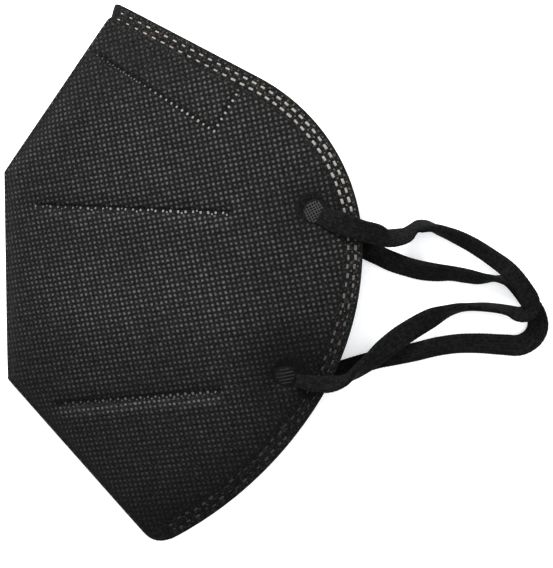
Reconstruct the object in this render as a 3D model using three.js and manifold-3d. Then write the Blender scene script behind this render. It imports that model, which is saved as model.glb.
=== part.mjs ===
// A fold-flat respirator mask lying on its side on a table, in millimetres, +Z up.
//
// The shell is one folded cloth form: a lower panel that lies flat on the table and an
// upper panel that bulges over it, joined at the straight fold on the left and at the
// welded nose and chin seams, and open along the curved rim on the right, where the face
// goes in. Two flat elastic ear loops, one from each panel, leave the rim at +X.
// The origin is under the middle of the shell's bounding box, on the table.

import * as THREE from 'three';
import Module from 'manifold-3d';

// ---------------------------------------------------------------- driving dimensions

// The cloth's wall, and the welded band along the rim where its layers are pressed thin.
const CLOTH = { wall: 1.6 };
const RIM_BAND = { width: 5.5, wall: 1.1, press: 0.25, step: 1, blend: 3 };

// Heights over the table, at the corners where both panels are welded together and at
// the widest place. "rimSink" is how far the upper panel falls from its crown to the rim.
const HEIGHT = {
  cornerBottom: 1.2,
  cornerTop: 3.0,
  rimBottom: 2.8,
  rimTop: 11.0,
  crown: 12.4,
};

// How far each change of height reaches into the panel from its edge.
const REACH = { backRise: 15, backUndercut: 5, rimFall: 32, liftStart: 29, liftEnd: 19 };
const EDGE = { foldBottom: 1.3, foldTop: 4.4, seamBottom: 1.0, seamTop: 2.6 };

// The panels swell from the corners as a sine to this power, and the fold's round edge
// passes into the flat seams over a short share of the back edge.
const SWELL_POWER = 0.75;
const FOLD_BLEND = { before: -0.02, after: 0.06 };

// Distances at which a cross section is sampled: close together at the rounded back edge
// and at the rim band, wide apart between them. Sections under "fullWidth" shrink them.
const SAMPLES = {
  fromBack: [0, 1, 3, 6.5, 12, 19],
  between: [1 / 3, 2 / 3],
  fromRim: [29, 24, 19, 11, 6.5, 5.5, 0],
  fullWidth: 60,
};

// The hollow starts where the walls leave this gap, is left out where the mask is nearly
// closed, and is cut this far beyond the rim.
const HOLLOW = { leastGap: 0.4, leastFullness: 0.28, beyondRim: 3 };

// The rim from the nose corner to the chin corner: a straight stretch and three arcs.
// Its heading starts 28 degrees below +X and turns clockwise by "turn" degrees.
const RIM_START = { x: -19.2, y: 80.5, heading: -28 };
const RIM = [
  { stretch: 'nose straight', length: 47.4, turn: 0 },
  { stretch: 'cheek arc', length: 62.6, turn: 62 },
  { stretch: 'ear arc', length: 48.4, turn: 32 },
  { stretch: 'jaw arc', length: 60.8, turn: 30 },
];

// The back edge from the chin corner to the nose corner, with the number of lofted
// sections up to each corner.
const BACK_START = { x: -12.7, y: -77.4 };
const BACK = [
  { edge: 'chin seam', x: -52.8, y: -31.8, sections: 11 },
  { edge: 'fold', x: -53.8, y: 30.2, sections: 11 },
  { edge: 'fold end', x: -49.4, y: 37.0, sections: 1 },
  { edge: 'nose seam', x: -23.0, y: 76.2, sections: 10 },
];
// Both corners are rounded outward by this much.
const BULGE = { chin: 1.8, nose: 0.7, span: 0.05 };

// Welded lines pressed into both panels, from end to end.
const WELD_LINES = [
  { line: 'upper rib', x0: -44.7, y0: 20.4, x1: 14.4, y1: 18.0, half: 1.3, depth: 0.8 },
  { line: 'lower rib', x0: -38.7, y0: -40.5, x1: 10.2, y1: -35.1, half: 1.3, depth: 0.8 },
  { line: 'nose pocket', x0: -27.3, y0: 66.3, x1: 8.7, y1: 42.6, half: 0.6, depth: 0.4 },
  { line: 'pocket end', x0: 8.7, y0: 42.6, x1: 15.9, y1: 54.3, half: 0.6, depth: 0.4 },
];

const GROOVE_STEPS = 16;

// Touching pieces keep this gap.
const GAP = 0.3;
const PAD = { radius: 3.4, thickness: 0.8, sides: 24 };
const PADS = [
  { name: 'near_upper_weld_pad', x: 38.8, y: 18.5, panel: 'upper' },
  { name: 'near_lower_weld_pad', x: 30.5, y: -30.7, panel: 'upper' },
  { name: 'far_upper_weld_pad', x: 38.8, y: 18.5, panel: 'lower' },
  { name: 'far_lower_weld_pad', x: 30.5, y: -30.7, panel: 'lower' },
];

const STRAP = { width: 5.8, thickness: 1.5, edge: 0.45, steps: 78 };

// Centre line of each strap, with its roll about that line: 0 is flat on the table and
// 90 is on edge.
const NEAR_LOOP = [
  { x: 42.4, y: 17.3, z: 12.8, roll: -2 },
  { x: 47.2, y: 15.6, z: 12.7, roll: -3 },
  { x: 52.8, y: 13.2, z: 12.5, roll: -4 },
  { x: 57.6, y: 11.5, z: 10.2, roll: 4 },
  { x: 62.8, y: 10.2, z: 6.2, roll: 36 },
  { x: 66.6, y: 11.3, z: 4.2, roll: 50 },
  { x: 69.6, y: 13.3, z: 3.5, roll: 60 },
  { x: 72.6, y: 14.0, z: 3.2, roll: 66 },
  { x: 75.9, y: 13.1, z: 3.1, roll: 84 },
  { x: 80.3, y: 11.3, z: 3.0, roll: 108 },
  { x: 86.0, y: 8.6, z: 3.2, roll: 122 },
  { x: 91.9, y: 4.7, z: 3.8, roll: 130 },
  { x: 97.4, y: 0.4, z: 4.7, roll: 142 },
  { x: 101.5, y: -4.6, z: 5.0, roll: 146 },
  { x: 104.2, y: -8.8, z: 5.0, roll: 126 },
  { x: 105.0, y: -11.2, z: 5.1, roll: 108 },
  { x: 103.5, y: -12.9, z: 5.1, roll: 102 },
  { x: 101.0, y: -12.7, z: 4.6, roll: 100 },
  { x: 95.5, y: -10.9, z: 3.5, roll: 100 },
  { x: 89.0, y: -10.1, z: 3.1, roll: 100 },
  { x: 82.2, y: -10.7, z: 3.1, roll: 106 },
  { x: 78.0, y: -12.1, z: 3.0, roll: 120 },
  { x: 74.2, y: -13.5, z: 2.7, roll: 140 },
  { x: 68.5, y: -17.0, z: 2.7, roll: 158 },
  { x: 64.2, y: -20.0, z: 3.4, roll: 164 },
  { x: 59.8, y: -23.7, z: 3.8, roll: 164 },
  { x: 56.2, y: -26.4, z: 5.0, roll: 146 },
  { x: 51.8, y: -29.5, z: 6.5, roll: 116 },
  { x: 48.8, y: -31.9, z: 9.1, roll: 84 },
  { x: 46.2, y: -33.1, z: 11.9, roll: 46 },
  { x: 42.6, y: -33.3, z: 12.8, roll: 14 },
  { x: 38.6, y: -32.7, z: 12.1, roll: 0 },
  { x: 34.3, y: -31.5, z: 12.0, roll: 0 },
];

const FAR_LOOP = [
  { x: 41.2, y: 15.4, z: 1.7, roll: 0 },
  { x: 44.6, y: 12.0, z: 1.6, roll: 0 },
  { x: 48.8, y: 9.2, z: 1.5, roll: 0 },
  { x: 53.6, y: 7.1, z: 1.4, roll: 6 },
  { x: 58.6, y: 5.0, z: 2.1, roll: 28 },
  { x: 62.7, y: 3.3, z: 2.6, roll: 44 },
  { x: 67.2, y: 1.8, z: 2.7, roll: 48 },
  { x: 71.4, y: 0.8, z: 2.7, roll: 48 },
  { x: 75.9, y: 0.2, z: 2.8, roll: 52 },
  { x: 80.1, y: -0.1, z: 2.9, roll: 60 },
  { x: 84.6, y: -0.7, z: 3.0, roll: 66 },
  { x: 88.8, y: -1.4, z: 3.1, roll: 74 },
  { x: 93.4, y: -1.7, z: 3.1, roll: 94 },
  { x: 97.0, y: -3.0, z: 2.8, roll: 128 },
  { x: 100.6, y: -5.6, z: 2.0, roll: 154 },
  { x: 104.2, y: -9.4, z: 1.1, roll: 172 },
  { x: 106.1, y: -13.0, z: 0.9, roll: 178 },
  { x: 106.2, y: -16.2, z: 0.8, roll: 180 },
  { x: 104.7, y: -19.3, z: 0.8, roll: 180 },
  { x: 101.0, y: -21.5, z: 0.8, roll: 180 },
  { x: 95.6, y: -21.4, z: 0.8, roll: 180 },
  { x: 88.8, y: -21.1, z: 0.8, roll: 180 },
  { x: 82.2, y: -21.2, z: 0.8, roll: 180 },
  { x: 75.9, y: -21.9, z: 0.8, roll: 180 },
  { x: 69.3, y: -23.4, z: 0.8, roll: 180 },
  { x: 63.0, y: -24.8, z: 0.8, roll: 180 },
  { x: 57.6, y: -26.2, z: 0.8, roll: 180 },
  { x: 52.0, y: -27.8, z: 1.0, roll: 180 },
  { x: 46.2, y: -29.4, z: 1.4, roll: 180 },
  { x: 40.2, y: -30.4, z: 1.6, roll: 180 },
  { x: 34.4, y: -30.8, z: 1.7, roll: 180 },
];

const COLOURS = { cloth: 0x2b2b2d, strap: 0x1b1b1d, weld: 0x222224 };

// ---------------------------------------------------------------- the outline

const wasm = await Module();
wasm.setup();

// The position and heading after going "length" along a stretch that turns clockwise.
function advance(pose, length, turnDegrees) {
  const turn = THREE.MathUtils.degToRad(turnDegrees);
  const heading = pose.heading - turn;
  if (turn === 0) {
    const x = pose.x + length * Math.cos(pose.heading);
    const y = pose.y + length * Math.sin(pose.heading);
    return { x, y, heading };
  }
  const radius = length / turn;
  const x = pose.x + radius * (Math.sin(pose.heading) - Math.sin(heading));
  const y = pose.y - radius * (Math.cos(pose.heading) - Math.cos(heading));
  return { x, y, heading };
}

// The rim at a fraction of its length, counted from the chin corner (0) to the nose (1).
function rimPoint(fraction) {
  const total = RIM.reduce((sum, row) => sum + row.length, 0);
  let left = (1 - fraction) * total;
  let pose = {
    x: RIM_START.x,
    y: RIM_START.y,
    heading: THREE.MathUtils.degToRad(RIM_START.heading),
  };
  for (const row of RIM) {
    const part = Math.min(left, row.length);
    pose = advance(pose, part, (row.turn * part) / row.length);
    left -= part;
  }
  return new THREE.Vector2(pose.x, pose.y);
}

// The straight edges of the back, each with its length and both its ends.
const BACK_EDGES = BACK.map((row, index) => {
  const start = index === 0 ? BACK_START : BACK[index - 1];
  const from = new THREE.Vector2(start.x, start.y);
  const to = new THREE.Vector2(row.x, row.y);
  return { from, to, length: from.distanceTo(to), sections: row.sections };
});
const BACK_LENGTH = BACK_EDGES.reduce((sum, edge) => sum + edge.length, 0);

function backPoint(fraction) {
  let left = fraction * BACK_LENGTH;
  for (const edge of BACK_EDGES) {
    if (left <= edge.length) {
      return edge.from.clone().lerp(edge.to, left / edge.length);
    }
    left -= edge.length;
  }
  return BACK_EDGES.at(-1).to.clone();
}

// The places of the lofted sections, as fractions of the back edge, with every corner of
// the back edge on one of them.
function sectionPlaces() {
  const places = [0];
  let reached = 0;
  for (const edge of BACK_EDGES) {
    for (let step = 1; step <= edge.sections; step += 1) {
      places.push((reached + (edge.length * step) / edge.sections) / BACK_LENGTH);
    }
    reached += edge.length;
  }
  return places;
}

// The straight line across the mask at one place, from the back edge to the rim. Near
// the chin and nose corners it bows outward, which rounds them.
function crossLine(place) {
  const back = backPoint(place);
  const rim = rimPoint(place);
  const across = rim.clone().sub(back);
  const toChin = new THREE.Vector2(across.y, -across.x).normalize();
  const chin = BULGE.chin * Math.max(0, 1 - place / BULGE.span);
  const nose = BULGE.nose * Math.max(0, 1 - (1 - place) / BULGE.span);
  return { place, back, rim, width: across.length(), bow: toChin.multiplyScalar(chin - nose) };
}

// The point on a cross line at a distance from its back end.
function pointOn(line, fromBack) {
  const share = fromBack / line.width;
  const round = Math.max(0, 4 * share * (1 - share));
  return line.back.clone().lerp(line.rim, share).addScaledVector(line.bow, round);
}

// The cross line through a point of the outline, found by halving.
function crossLineAt(x, y) {
  const point = new THREE.Vector2(x, y);
  let low = 0;
  let high = 1;
  for (let round = 0; round < 40; round += 1) {
    const line = crossLine((low + high) / 2);
    const across = line.rim.clone().sub(line.back);
    const isAbove = across.cross(point.clone().sub(line.back)) > 0;
    if (isAbove) {
      low = line.place;
    } else {
      high = line.place;
    }
  }
  return crossLine((low + high) / 2);
}

// ---------------------------------------------------------------- heights of the panels

const { smoothstep } = THREE.MathUtils;
const mix = (from, to, share) => from + (to - from) * share;
const quarterRound = (share) => Math.sqrt(Math.max(0, 1 - (1 - Math.min(share, 1)) ** 2));
const fadeOut = (share) => (1 - THREE.MathUtils.clamp(share, 0, 1)) ** 2;

// How far the two panels stand apart along the mask: 0 at both corners, 1 half way.
function fullness(place) {
  return Math.sin(Math.PI * THREE.MathUtils.clamp(place, 0, 1)) ** SWELL_POWER;
}

// How much a place belongs to the fold rather than to the welded seams.
function foldShare(place) {
  const foldStart = BACK_EDGES[0].length / BACK_LENGTH;
  const foldEnd = 1 - BACK_EDGES.at(-1).length / BACK_LENGTH;
  const inside = Math.min(place - foldStart, foldEnd - place);
  return smoothstep(inside, FOLD_BLEND.before, FOLD_BLEND.after);
}

// Outer heights of both panels and the wall thickness at a distance along a cross line.
function heightsOn(line, fromBack) {
  const fromRim = line.width - fromBack;
  const full = fullness(line.place);
  const fold = foldShare(line.place);
  const narrow = Math.min(1, line.width / (REACH.backRise + REACH.rimFall));
  const rise = quarterRound(fromBack / (REACH.backRise * narrow));
  const fall = fadeOut(fromRim / (REACH.rimFall * narrow));
  const bandEnd = RIM_BAND.width;
  const press = RIM_BAND.press * (1 - smoothstep(fromRim, bandEnd, bandEnd + RIM_BAND.step));
  const wallShare = smoothstep(fromRim, bandEnd, bandEnd + RIM_BAND.blend);

  const crown = mix(HEIGHT.cornerTop, HEIGHT.crown, full);
  const rimTop = mix(HEIGHT.cornerTop, HEIGHT.rimTop, full);
  const edgeTop = mix(EDGE.seamTop, EDGE.foldTop, fold);
  const top = mix(edgeTop, crown, rise) - (crown - rimTop) * fall - press;

  const lift = 1 - smoothstep(fromRim, REACH.liftEnd * narrow, REACH.liftStart * narrow);
  const rimBottom = mix(HEIGHT.cornerBottom, HEIGHT.rimBottom, Math.min(1, 2 * full));
  const edgeBottom = mix(EDGE.seamBottom, EDGE.foldBottom, fold);
  const undercut = 1 - quarterRound(fromBack / (REACH.backUndercut * narrow));
  const bottom = Math.max(edgeBottom * undercut, rimBottom * lift) + press;
  return { top, bottom, wall: mix(RIM_BAND.wall, CLOTH.wall, wallShare) };
}

// ---------------------------------------------------------------- solids

// A closed solid lofted through sections, each a list of { x, y, low, high } rows that
// run from the back to the rim.
function loftPanels(sections) {
  const count = sections[0].length;
  const vertices = [];
  for (const section of sections) {
    for (const row of section) {
      vertices.push(row.x, row.y, row.high);
    }
    for (const row of section.toReversed()) {
      vertices.push(row.x, row.y, row.low);
    }
  }
  return closedLoft(vertices, sections.length, 2 * count, (ring, at) => {
    const faces = [];
    for (let index = 0; index < count - 1; index += 1) {
      const mirrored = 2 * count - 1 - index;
      faces.push([at(ring, index), at(ring, index + 1), at(ring, mirrored - 1)]);
      faces.push([at(ring, index), at(ring, mirrored - 1), at(ring, mirrored)]);
    }
    return faces;
  });
}

// Joins rings of equal size into a closed triangle mesh; "cap" gives the end faces.
function closedLoft(vertices, rings, size, cap) {
  const at = (ring, index) => ring * size + (index % size);
  const faces = [];
  for (let ring = 0; ring < rings - 1; ring += 1) {
    for (let index = 0; index < size; index += 1) {
      faces.push([at(ring, index), at(ring + 1, index), at(ring + 1, index + 1)]);
      faces.push([at(ring, index), at(ring + 1, index + 1), at(ring, index + 1)]);
    }
  }
  faces.push(...cap(0, at));
  faces.push(...cap(rings - 1, at).map(([a, b, c]) => [c, b, a]));
  if (signedVolume(vertices, faces) < 0) {
    faces.forEach((face) => face.reverse());
  }
  return { vertices, faces };
}

function signedVolume(vertices, faces) {
  const corner = (index) => new THREE.Vector3().fromArray(vertices, 3 * index);
  return faces.reduce((sum, [a, b, c]) => sum + corner(a).dot(corner(b).cross(corner(c))) / 6, 0);
}

function toManifold({ vertices, faces }) {
  const mesh = new wasm.Mesh({
    numProp: 3,
    vertProperties: Float32Array.from(vertices),
    triVerts: Uint32Array.from(faces.flat()),
  });
  return new wasm.Manifold(mesh);
}

function toGeometry(vertices, indices) {
  const geometry = new THREE.BufferGeometry();
  geometry.setAttribute('position', new THREE.Float32BufferAttribute(vertices, 3));
  geometry.setIndex([...indices]);
  geometry.computeVertexNormals();
  return geometry;
}

// Distances from the back edge at which a section is sampled, from "first" to "last".
function stopsAcross(line, first, last) {
  const scale = Math.min(1, line.width / SAMPLES.fullWidth);
  const nearBack = SAMPLES.fromBack.map((stop) => first + stop * scale);
  const nearRim = SAMPLES.fromRim.map((stop) => line.width - stop * scale);
  const between = SAMPLES.between.map((share) => mix(nearBack.at(-1), nearRim[0], share));
  return [...nearBack, ...between, ...nearRim.slice(0, -1), last];
}

function outerForm() {
  const sections = sectionPlaces().map((place) => {
    const line = crossLine(place);
    return stopsAcross(line, 0, line.width).map((fromBack) => {
      const { x, y } = pointOn(line, fromBack);
      const { top, bottom } = heightsOn(line, fromBack);
      return { x, y, low: bottom, high: top };
    });
  });
  return toManifold(loftPanels(sections));
}

// The hollow between the panels, which runs out through the rim.
function hollowForm() {
  const isOpen = (place) => fullness(place) > HOLLOW.leastFullness;
  const sections = sectionPlaces().filter(isOpen).map((place) => {
    const line = crossLine(place);
    const first = Math.max(hollowStart(line), CLOTH.wall);
    return stopsAcross(line, first, line.width + HOLLOW.beyondRim).map((fromBack) => {
      const { x, y } = pointOn(line, fromBack);
      const { top, bottom, wall } = heightsOn(line, Math.min(fromBack, line.width));
      const middle = (top + bottom) / 2;
      const half = Math.max(top - bottom - 2 * wall, HOLLOW.leastGap) / 2;
      return { x, y, low: middle - half, high: middle + half };
    });
  });
  return toManifold(loftPanels(sections));
}

// The distance from the back edge at which the walls leave the least gap, by halving.
function hollowStart(line) {
  let low = 0;
  let high = line.width / 2;
  for (let round = 0; round < 30; round += 1) {
    const middle = (low + high) / 2;
    const { top, bottom, wall } = heightsOn(line, middle);
    if (top - bottom - 2 * wall < HOLLOW.leastGap) {
      low = middle;
    } else {
      high = middle;
    }
  }
  return high;
}

// A wedge along a weld line that presses a groove into one panel. It is twice as wide at
// its back, which stands clear of the surface, as the groove that it leaves.
function weldGroove(row, panel) {
  const from = new THREE.Vector2(row.x0, row.y0);
  const to = new THREE.Vector2(row.x1, row.y1);
  const side = to.clone().sub(from).normalize().rotateAround(new THREE.Vector2(), Math.PI / 2);
  const outward = panel === 'upper' ? 1 : -1;
  const vertices = [];
  for (let step = 0; step <= GROOVE_STEPS; step += 1) {
    const point = from.clone().lerp(to, step / GROOVE_STEPS);
    const line = crossLineAt(point.x, point.y);
    const heights = heightsOn(line, line.back.distanceTo(point));
    const surface = panel === 'upper' ? heights.top : heights.bottom;
    const left = point.clone().addScaledVector(side, 2 * row.half);
    const right = point.clone().addScaledVector(side, -2 * row.half);
    vertices.push(left.x, left.y, surface + outward * row.depth);
    vertices.push(point.x, point.y, surface - outward * row.depth);
    vertices.push(right.x, right.y, surface + outward * row.depth);
  }
  const cap = (ring, at) => [[at(ring, 0), at(ring, 1), at(ring, 2)]];
  const loft = closedLoft(vertices, GROOVE_STEPS + 1, 3, cap);
  return toManifold(loft);
}

function maskBody() {
  let body = outerForm().subtract(hollowForm());
  for (const row of WELD_LINES) {
    for (const panel of ['upper', 'lower']) {
      body = body.subtract(weldGroove(row, panel));
    }
  }
  const mesh = body.getMesh();
  return toGeometry(mesh.vertProperties, mesh.triVerts);
}

// A flat strap along a table of centre points: a flattened eight-sided section that
// rolls about the centre line.
function strapLoop(rows) {
  const path = new THREE.CatmullRomCurve3(rows.map((row) => new THREE.Vector3(row.x, row.y, row.z)));
  const rollPoints = rows.map((row) => new THREE.Vector3(row.roll, 0, 0));
  const rolls = new THREE.CatmullRomCurve3(rollPoints, false, 'catmullrom');
  const halfWidth = STRAP.width / 2;
  const halfThick = STRAP.thickness / 2;
  const corner = [halfWidth - STRAP.edge, halfThick];
  const shoulder = [halfWidth, halfThick - STRAP.edge];
  const section = [
    corner,
    shoulder,
    [shoulder[0], -shoulder[1]],
    [corner[0], -corner[1]],
    [-corner[0], -corner[1]],
    [-shoulder[0], -shoulder[1]],
    [-shoulder[0], shoulder[1]],
    [-corner[0], corner[1]],
  ];
  const up = new THREE.Vector3(0, 0, 1);
  const vertices = [];
  for (let step = 0; step <= STRAP.steps; step += 1) {
    const t = path.getUtoTmapping(step / STRAP.steps);
    const centre = path.getPoint(t);
    const tangent = path.getTangent(t);
    const level = up.clone().cross(tangent).normalize();
    const roll = THREE.MathUtils.degToRad(rolls.getPoint(t).x);
    const widthAxis = level.applyAxisAngle(tangent, roll);
    const thickAxis = tangent.clone().cross(widthAxis);
    for (const [across, through] of section) {
      const point = centre.clone().addScaledVector(widthAxis, across).addScaledVector(thickAxis, through);
      vertices.push(point.x, point.y, point.z);
    }
  }
  const cap = (ring, at) => {
    const faces = [];
    for (let index = 1; index < section.length - 1; index += 1) {
      faces.push([at(ring, 0), at(ring, index), at(ring, index + 1)]);
    }
    return faces;
  };
  const loft = closedLoft(vertices, STRAP.steps + 1, section.length, cap);
  return toGeometry(loft.vertices, loft.faces.flat());
}

// Where a weld pad sits: on its panel, tilted with it, with the gap of touching pieces.
function seatPad(mesh, row) {
  const surfaceAt = (x, y) => {
    const line = crossLineAt(x, y);
    const heights = heightsOn(line, line.back.distanceTo(new THREE.Vector2(x, y)));
    return row.panel === 'upper' ? heights.top : heights.bottom;
  };
  const reach = PAD.radius;
  const slopeX = (surfaceAt(row.x + reach, row.y) - surfaceAt(row.x - reach, row.y)) / (2 * reach);
  const slopeY = (surfaceAt(row.x, row.y + reach) - surfaceAt(row.x, row.y - reach)) / (2 * reach);
  const normal = new THREE.Vector3(-slopeX, -slopeY, 1).normalize();
  const outward = row.panel === 'upper' ? 1 : -1;
  const offset = outward * (GAP + PAD.thickness / 2);
  mesh.position.set(row.x, row.y, surfaceAt(row.x, row.y)).addScaledVector(normal, offset);
  mesh.quaternion.setFromUnitVectors(new THREE.Vector3(0, 1, 0), normal);
}

// ---------------------------------------------------------------- assembly

function named(name, geometry, colour, roughness) {
  const material = new THREE.MeshStandardMaterial({ color: colour, roughness, metalness: 0 });
  material.name = name;
  const mesh = new THREE.Mesh(geometry, material);
  mesh.name = name;
  return mesh;
}

const mask = new THREE.Group();
mask.add(named('mask_body', maskBody(), COLOURS.cloth, 0.85));
mask.add(named('near_ear_loop', strapLoop(NEAR_LOOP), COLOURS.strap, 0.9));
mask.add(named('far_ear_loop', strapLoop(FAR_LOOP), COLOURS.strap, 0.9));
for (const row of PADS) {
  const disc = new THREE.CylinderGeometry(PAD.radius, PAD.radius, PAD.thickness, PAD.sides);
  const pad = named(row.name, disc, COLOURS.weld, 0.7);
  seatPad(pad, row);
  mask.add(pad);
}

export default mask;
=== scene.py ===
"""A fold-flat respirator mask of black bonded cloth, lying on its side on a pale table.

The folded shell, its welded marks, its two elastic ear loops and the pads that hold them
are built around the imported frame. Lengths inside the classes are millimetres in the
frame's own axes, and every mesh is written in metres.
"""

from __future__ import annotations

import logging
import math
from dataclasses import dataclass, field
from enum import Enum

import bmesh
import bpy
import numpy as np
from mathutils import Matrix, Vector
from mathutils.geometry import delaunay_2d_cdt


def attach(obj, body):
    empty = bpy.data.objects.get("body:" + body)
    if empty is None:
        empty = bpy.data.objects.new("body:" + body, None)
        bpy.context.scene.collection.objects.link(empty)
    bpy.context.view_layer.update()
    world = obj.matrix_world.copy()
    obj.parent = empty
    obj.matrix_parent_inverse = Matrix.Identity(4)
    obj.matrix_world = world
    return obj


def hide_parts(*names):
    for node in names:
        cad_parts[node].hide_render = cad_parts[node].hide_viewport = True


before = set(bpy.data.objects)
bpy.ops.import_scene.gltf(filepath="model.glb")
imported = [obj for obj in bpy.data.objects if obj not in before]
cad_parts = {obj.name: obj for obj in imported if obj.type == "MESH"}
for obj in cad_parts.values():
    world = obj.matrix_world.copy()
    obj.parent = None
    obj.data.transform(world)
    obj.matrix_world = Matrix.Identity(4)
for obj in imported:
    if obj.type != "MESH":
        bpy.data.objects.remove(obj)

MM = 0.001
ROOT = "root"
CHUNK = 4000
FLOAT, VECTOR = "NodeSocketFloat", "NodeSocketVector"
LOG = logging.getLogger("respirator_mask")
Array = np.ndarray
Socket = bpy.types.NodeSocket
Material = bpy.types.Material
Piece = bpy.types.Object


# ------------------------------------------------------------------ small mathematics


def smooth(value: Array, low: float, high: float) -> Array:
    """Eases from 0 at low to 1 at high.

    Args:
        value: Numbers to ease.
        low: Where the result leaves 0.
        high: Where the result reaches 1.

    Returns:
        The eased numbers.
    """
    share = np.clip((value - low) / (high - low), 0.0, 1.0)
    return share * share * (3.0 - 2.0 * share)


def fade(value: Array, low: float, high: float) -> Array:
    """Eases from 1 at low to 0 at high."""
    return 1.0 - smooth(value, low, high)


def bell(value: Array, middle: float, reach: float) -> Array:
    """Peaks at 1 in the middle and falls away on both sides."""
    return np.exp(-(((value - middle) / reach) ** 2))


def blend(start: Array, end: Array, share: Array) -> Array:
    """Mixes two values by a share from 0 to 1."""
    return start + (end - start) * share


def quarter_round(share: Array) -> Array:
    """Rises from 0 to 1 as a quarter of a circle."""
    return np.sqrt(np.maximum(0.0, 1.0 - (1.0 - np.minimum(share, 1.0)) ** 2))


def cross(first: Array, second: Array) -> Array:
    """The upward part of the cross product of flat vectors."""
    return first[..., 0] * second[..., 1] - first[..., 1] * second[..., 0]


def unit(vectors: Array) -> Array:
    """Scales vectors to length 1."""
    return vectors / np.maximum(np.linalg.norm(vectors, axis=-1, keepdims=True), 1e-12)


def right_of(headings: Array) -> Array:
    """The flat directions to the right of some headings."""
    return np.stack((headings[..., 1], -headings[..., 0]), -1)


def apart(points: Array, centre: Array) -> Array:
    """Distances of flat points from a centre."""
    return np.linalg.norm(points - centre, axis=1)


def lengths_along(points: Array) -> Array:
    """Distances of a line's points from its start."""
    steps = np.linalg.norm(np.diff(points, axis=0), axis=-1)
    return np.concatenate(([0.0], np.cumsum(steps)))


def read_between(at: Array, lengths: Array, rows: Array) -> Array:
    """Reads every column of some rows at places between them."""
    return np.stack([np.interp(at, lengths, column) for column in rows.T], -1)


def grid_of(columns: Array, rows: Array) -> Array:
    """Every crossing of some columns and rows, one to a row."""
    return np.stack(np.meshgrid(columns, rows), -1).reshape(-1, 2)


def rounded_ring(count: int, power: float) -> tuple[Array, Array]:
    """A closed ring between a circle (power 1) and a square (power 0)."""
    angles = np.linspace(0.0, 2.0 * math.pi, count, endpoint=False)
    x, y = (np.sign(side) * np.abs(side) ** power for side in (np.cos(angles), np.sin(angles)))
    return x, y


def ripple(x: Array, y: Array, wave: float, seed: int) -> Array:
    """A gentle uneven swell made of a few crossing waves.

    Args:
        x: Places along X.
        y: Places along Y.
        wave: The usual wavelength.
        seed: Picks the waves' directions and phases.

    Returns:
        Heights from about -1 to 1.
    """
    chance = np.random.default_rng(seed)
    total, count = np.zeros_like(x), 5
    for _ in range(count):
        angle = chance.uniform(0.0, math.pi)
        length = wave * chance.uniform(0.7, 1.5)
        phase = chance.uniform(0.0, 2.0 * math.pi)
        along = x * math.cos(angle) + y * math.sin(angle)
        total = total + np.sin(2.0 * math.pi * along / length + phase)
    return total / count


# ------------------------------------------------------------------ the mask's own form


class Panel(Enum):
    """The two halves of the folded cloth; the value is the way the outer face looks."""

    UPPER = 1
    LOWER = -1


class ShellFace(Enum):
    """The kinds of face on the shell."""

    UPPER = 0
    LOWER = 1
    UPPER_ROLL = 2
    LOWER_ROLL = 3
    UPPER_LINING = 4
    LOWER_LINING = 5
    CUT_EDGE = 6


@dataclass(frozen=True)
class RimStretch:
    """One stretch of the open rim: a straight line or an arc that turns clockwise."""

    length: float
    turn: float

    def go(self, start: Array, angle: float, part: Array) -> tuple[Array, Array]:
        """Goes some way along the stretch.

        Args:
            start: Where the stretch starts.
            angle: Its heading there, in radians.
            part: How far to go.

        Returns:
            The places reached and the headings there.
        """
        if self.turn == 0.0:
            step = np.stack((math.cos(angle) * part, math.sin(angle) * part), -1)
            return step + start, np.full(part.shape, angle)
        radius = self.length / math.radians(self.turn)
        heading = angle - part / radius
        x = start[0] + radius * (math.sin(angle) - np.sin(heading))
        y = start[1] - radius * (math.cos(angle) - np.cos(heading))
        return np.stack((x, y), -1), heading


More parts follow.
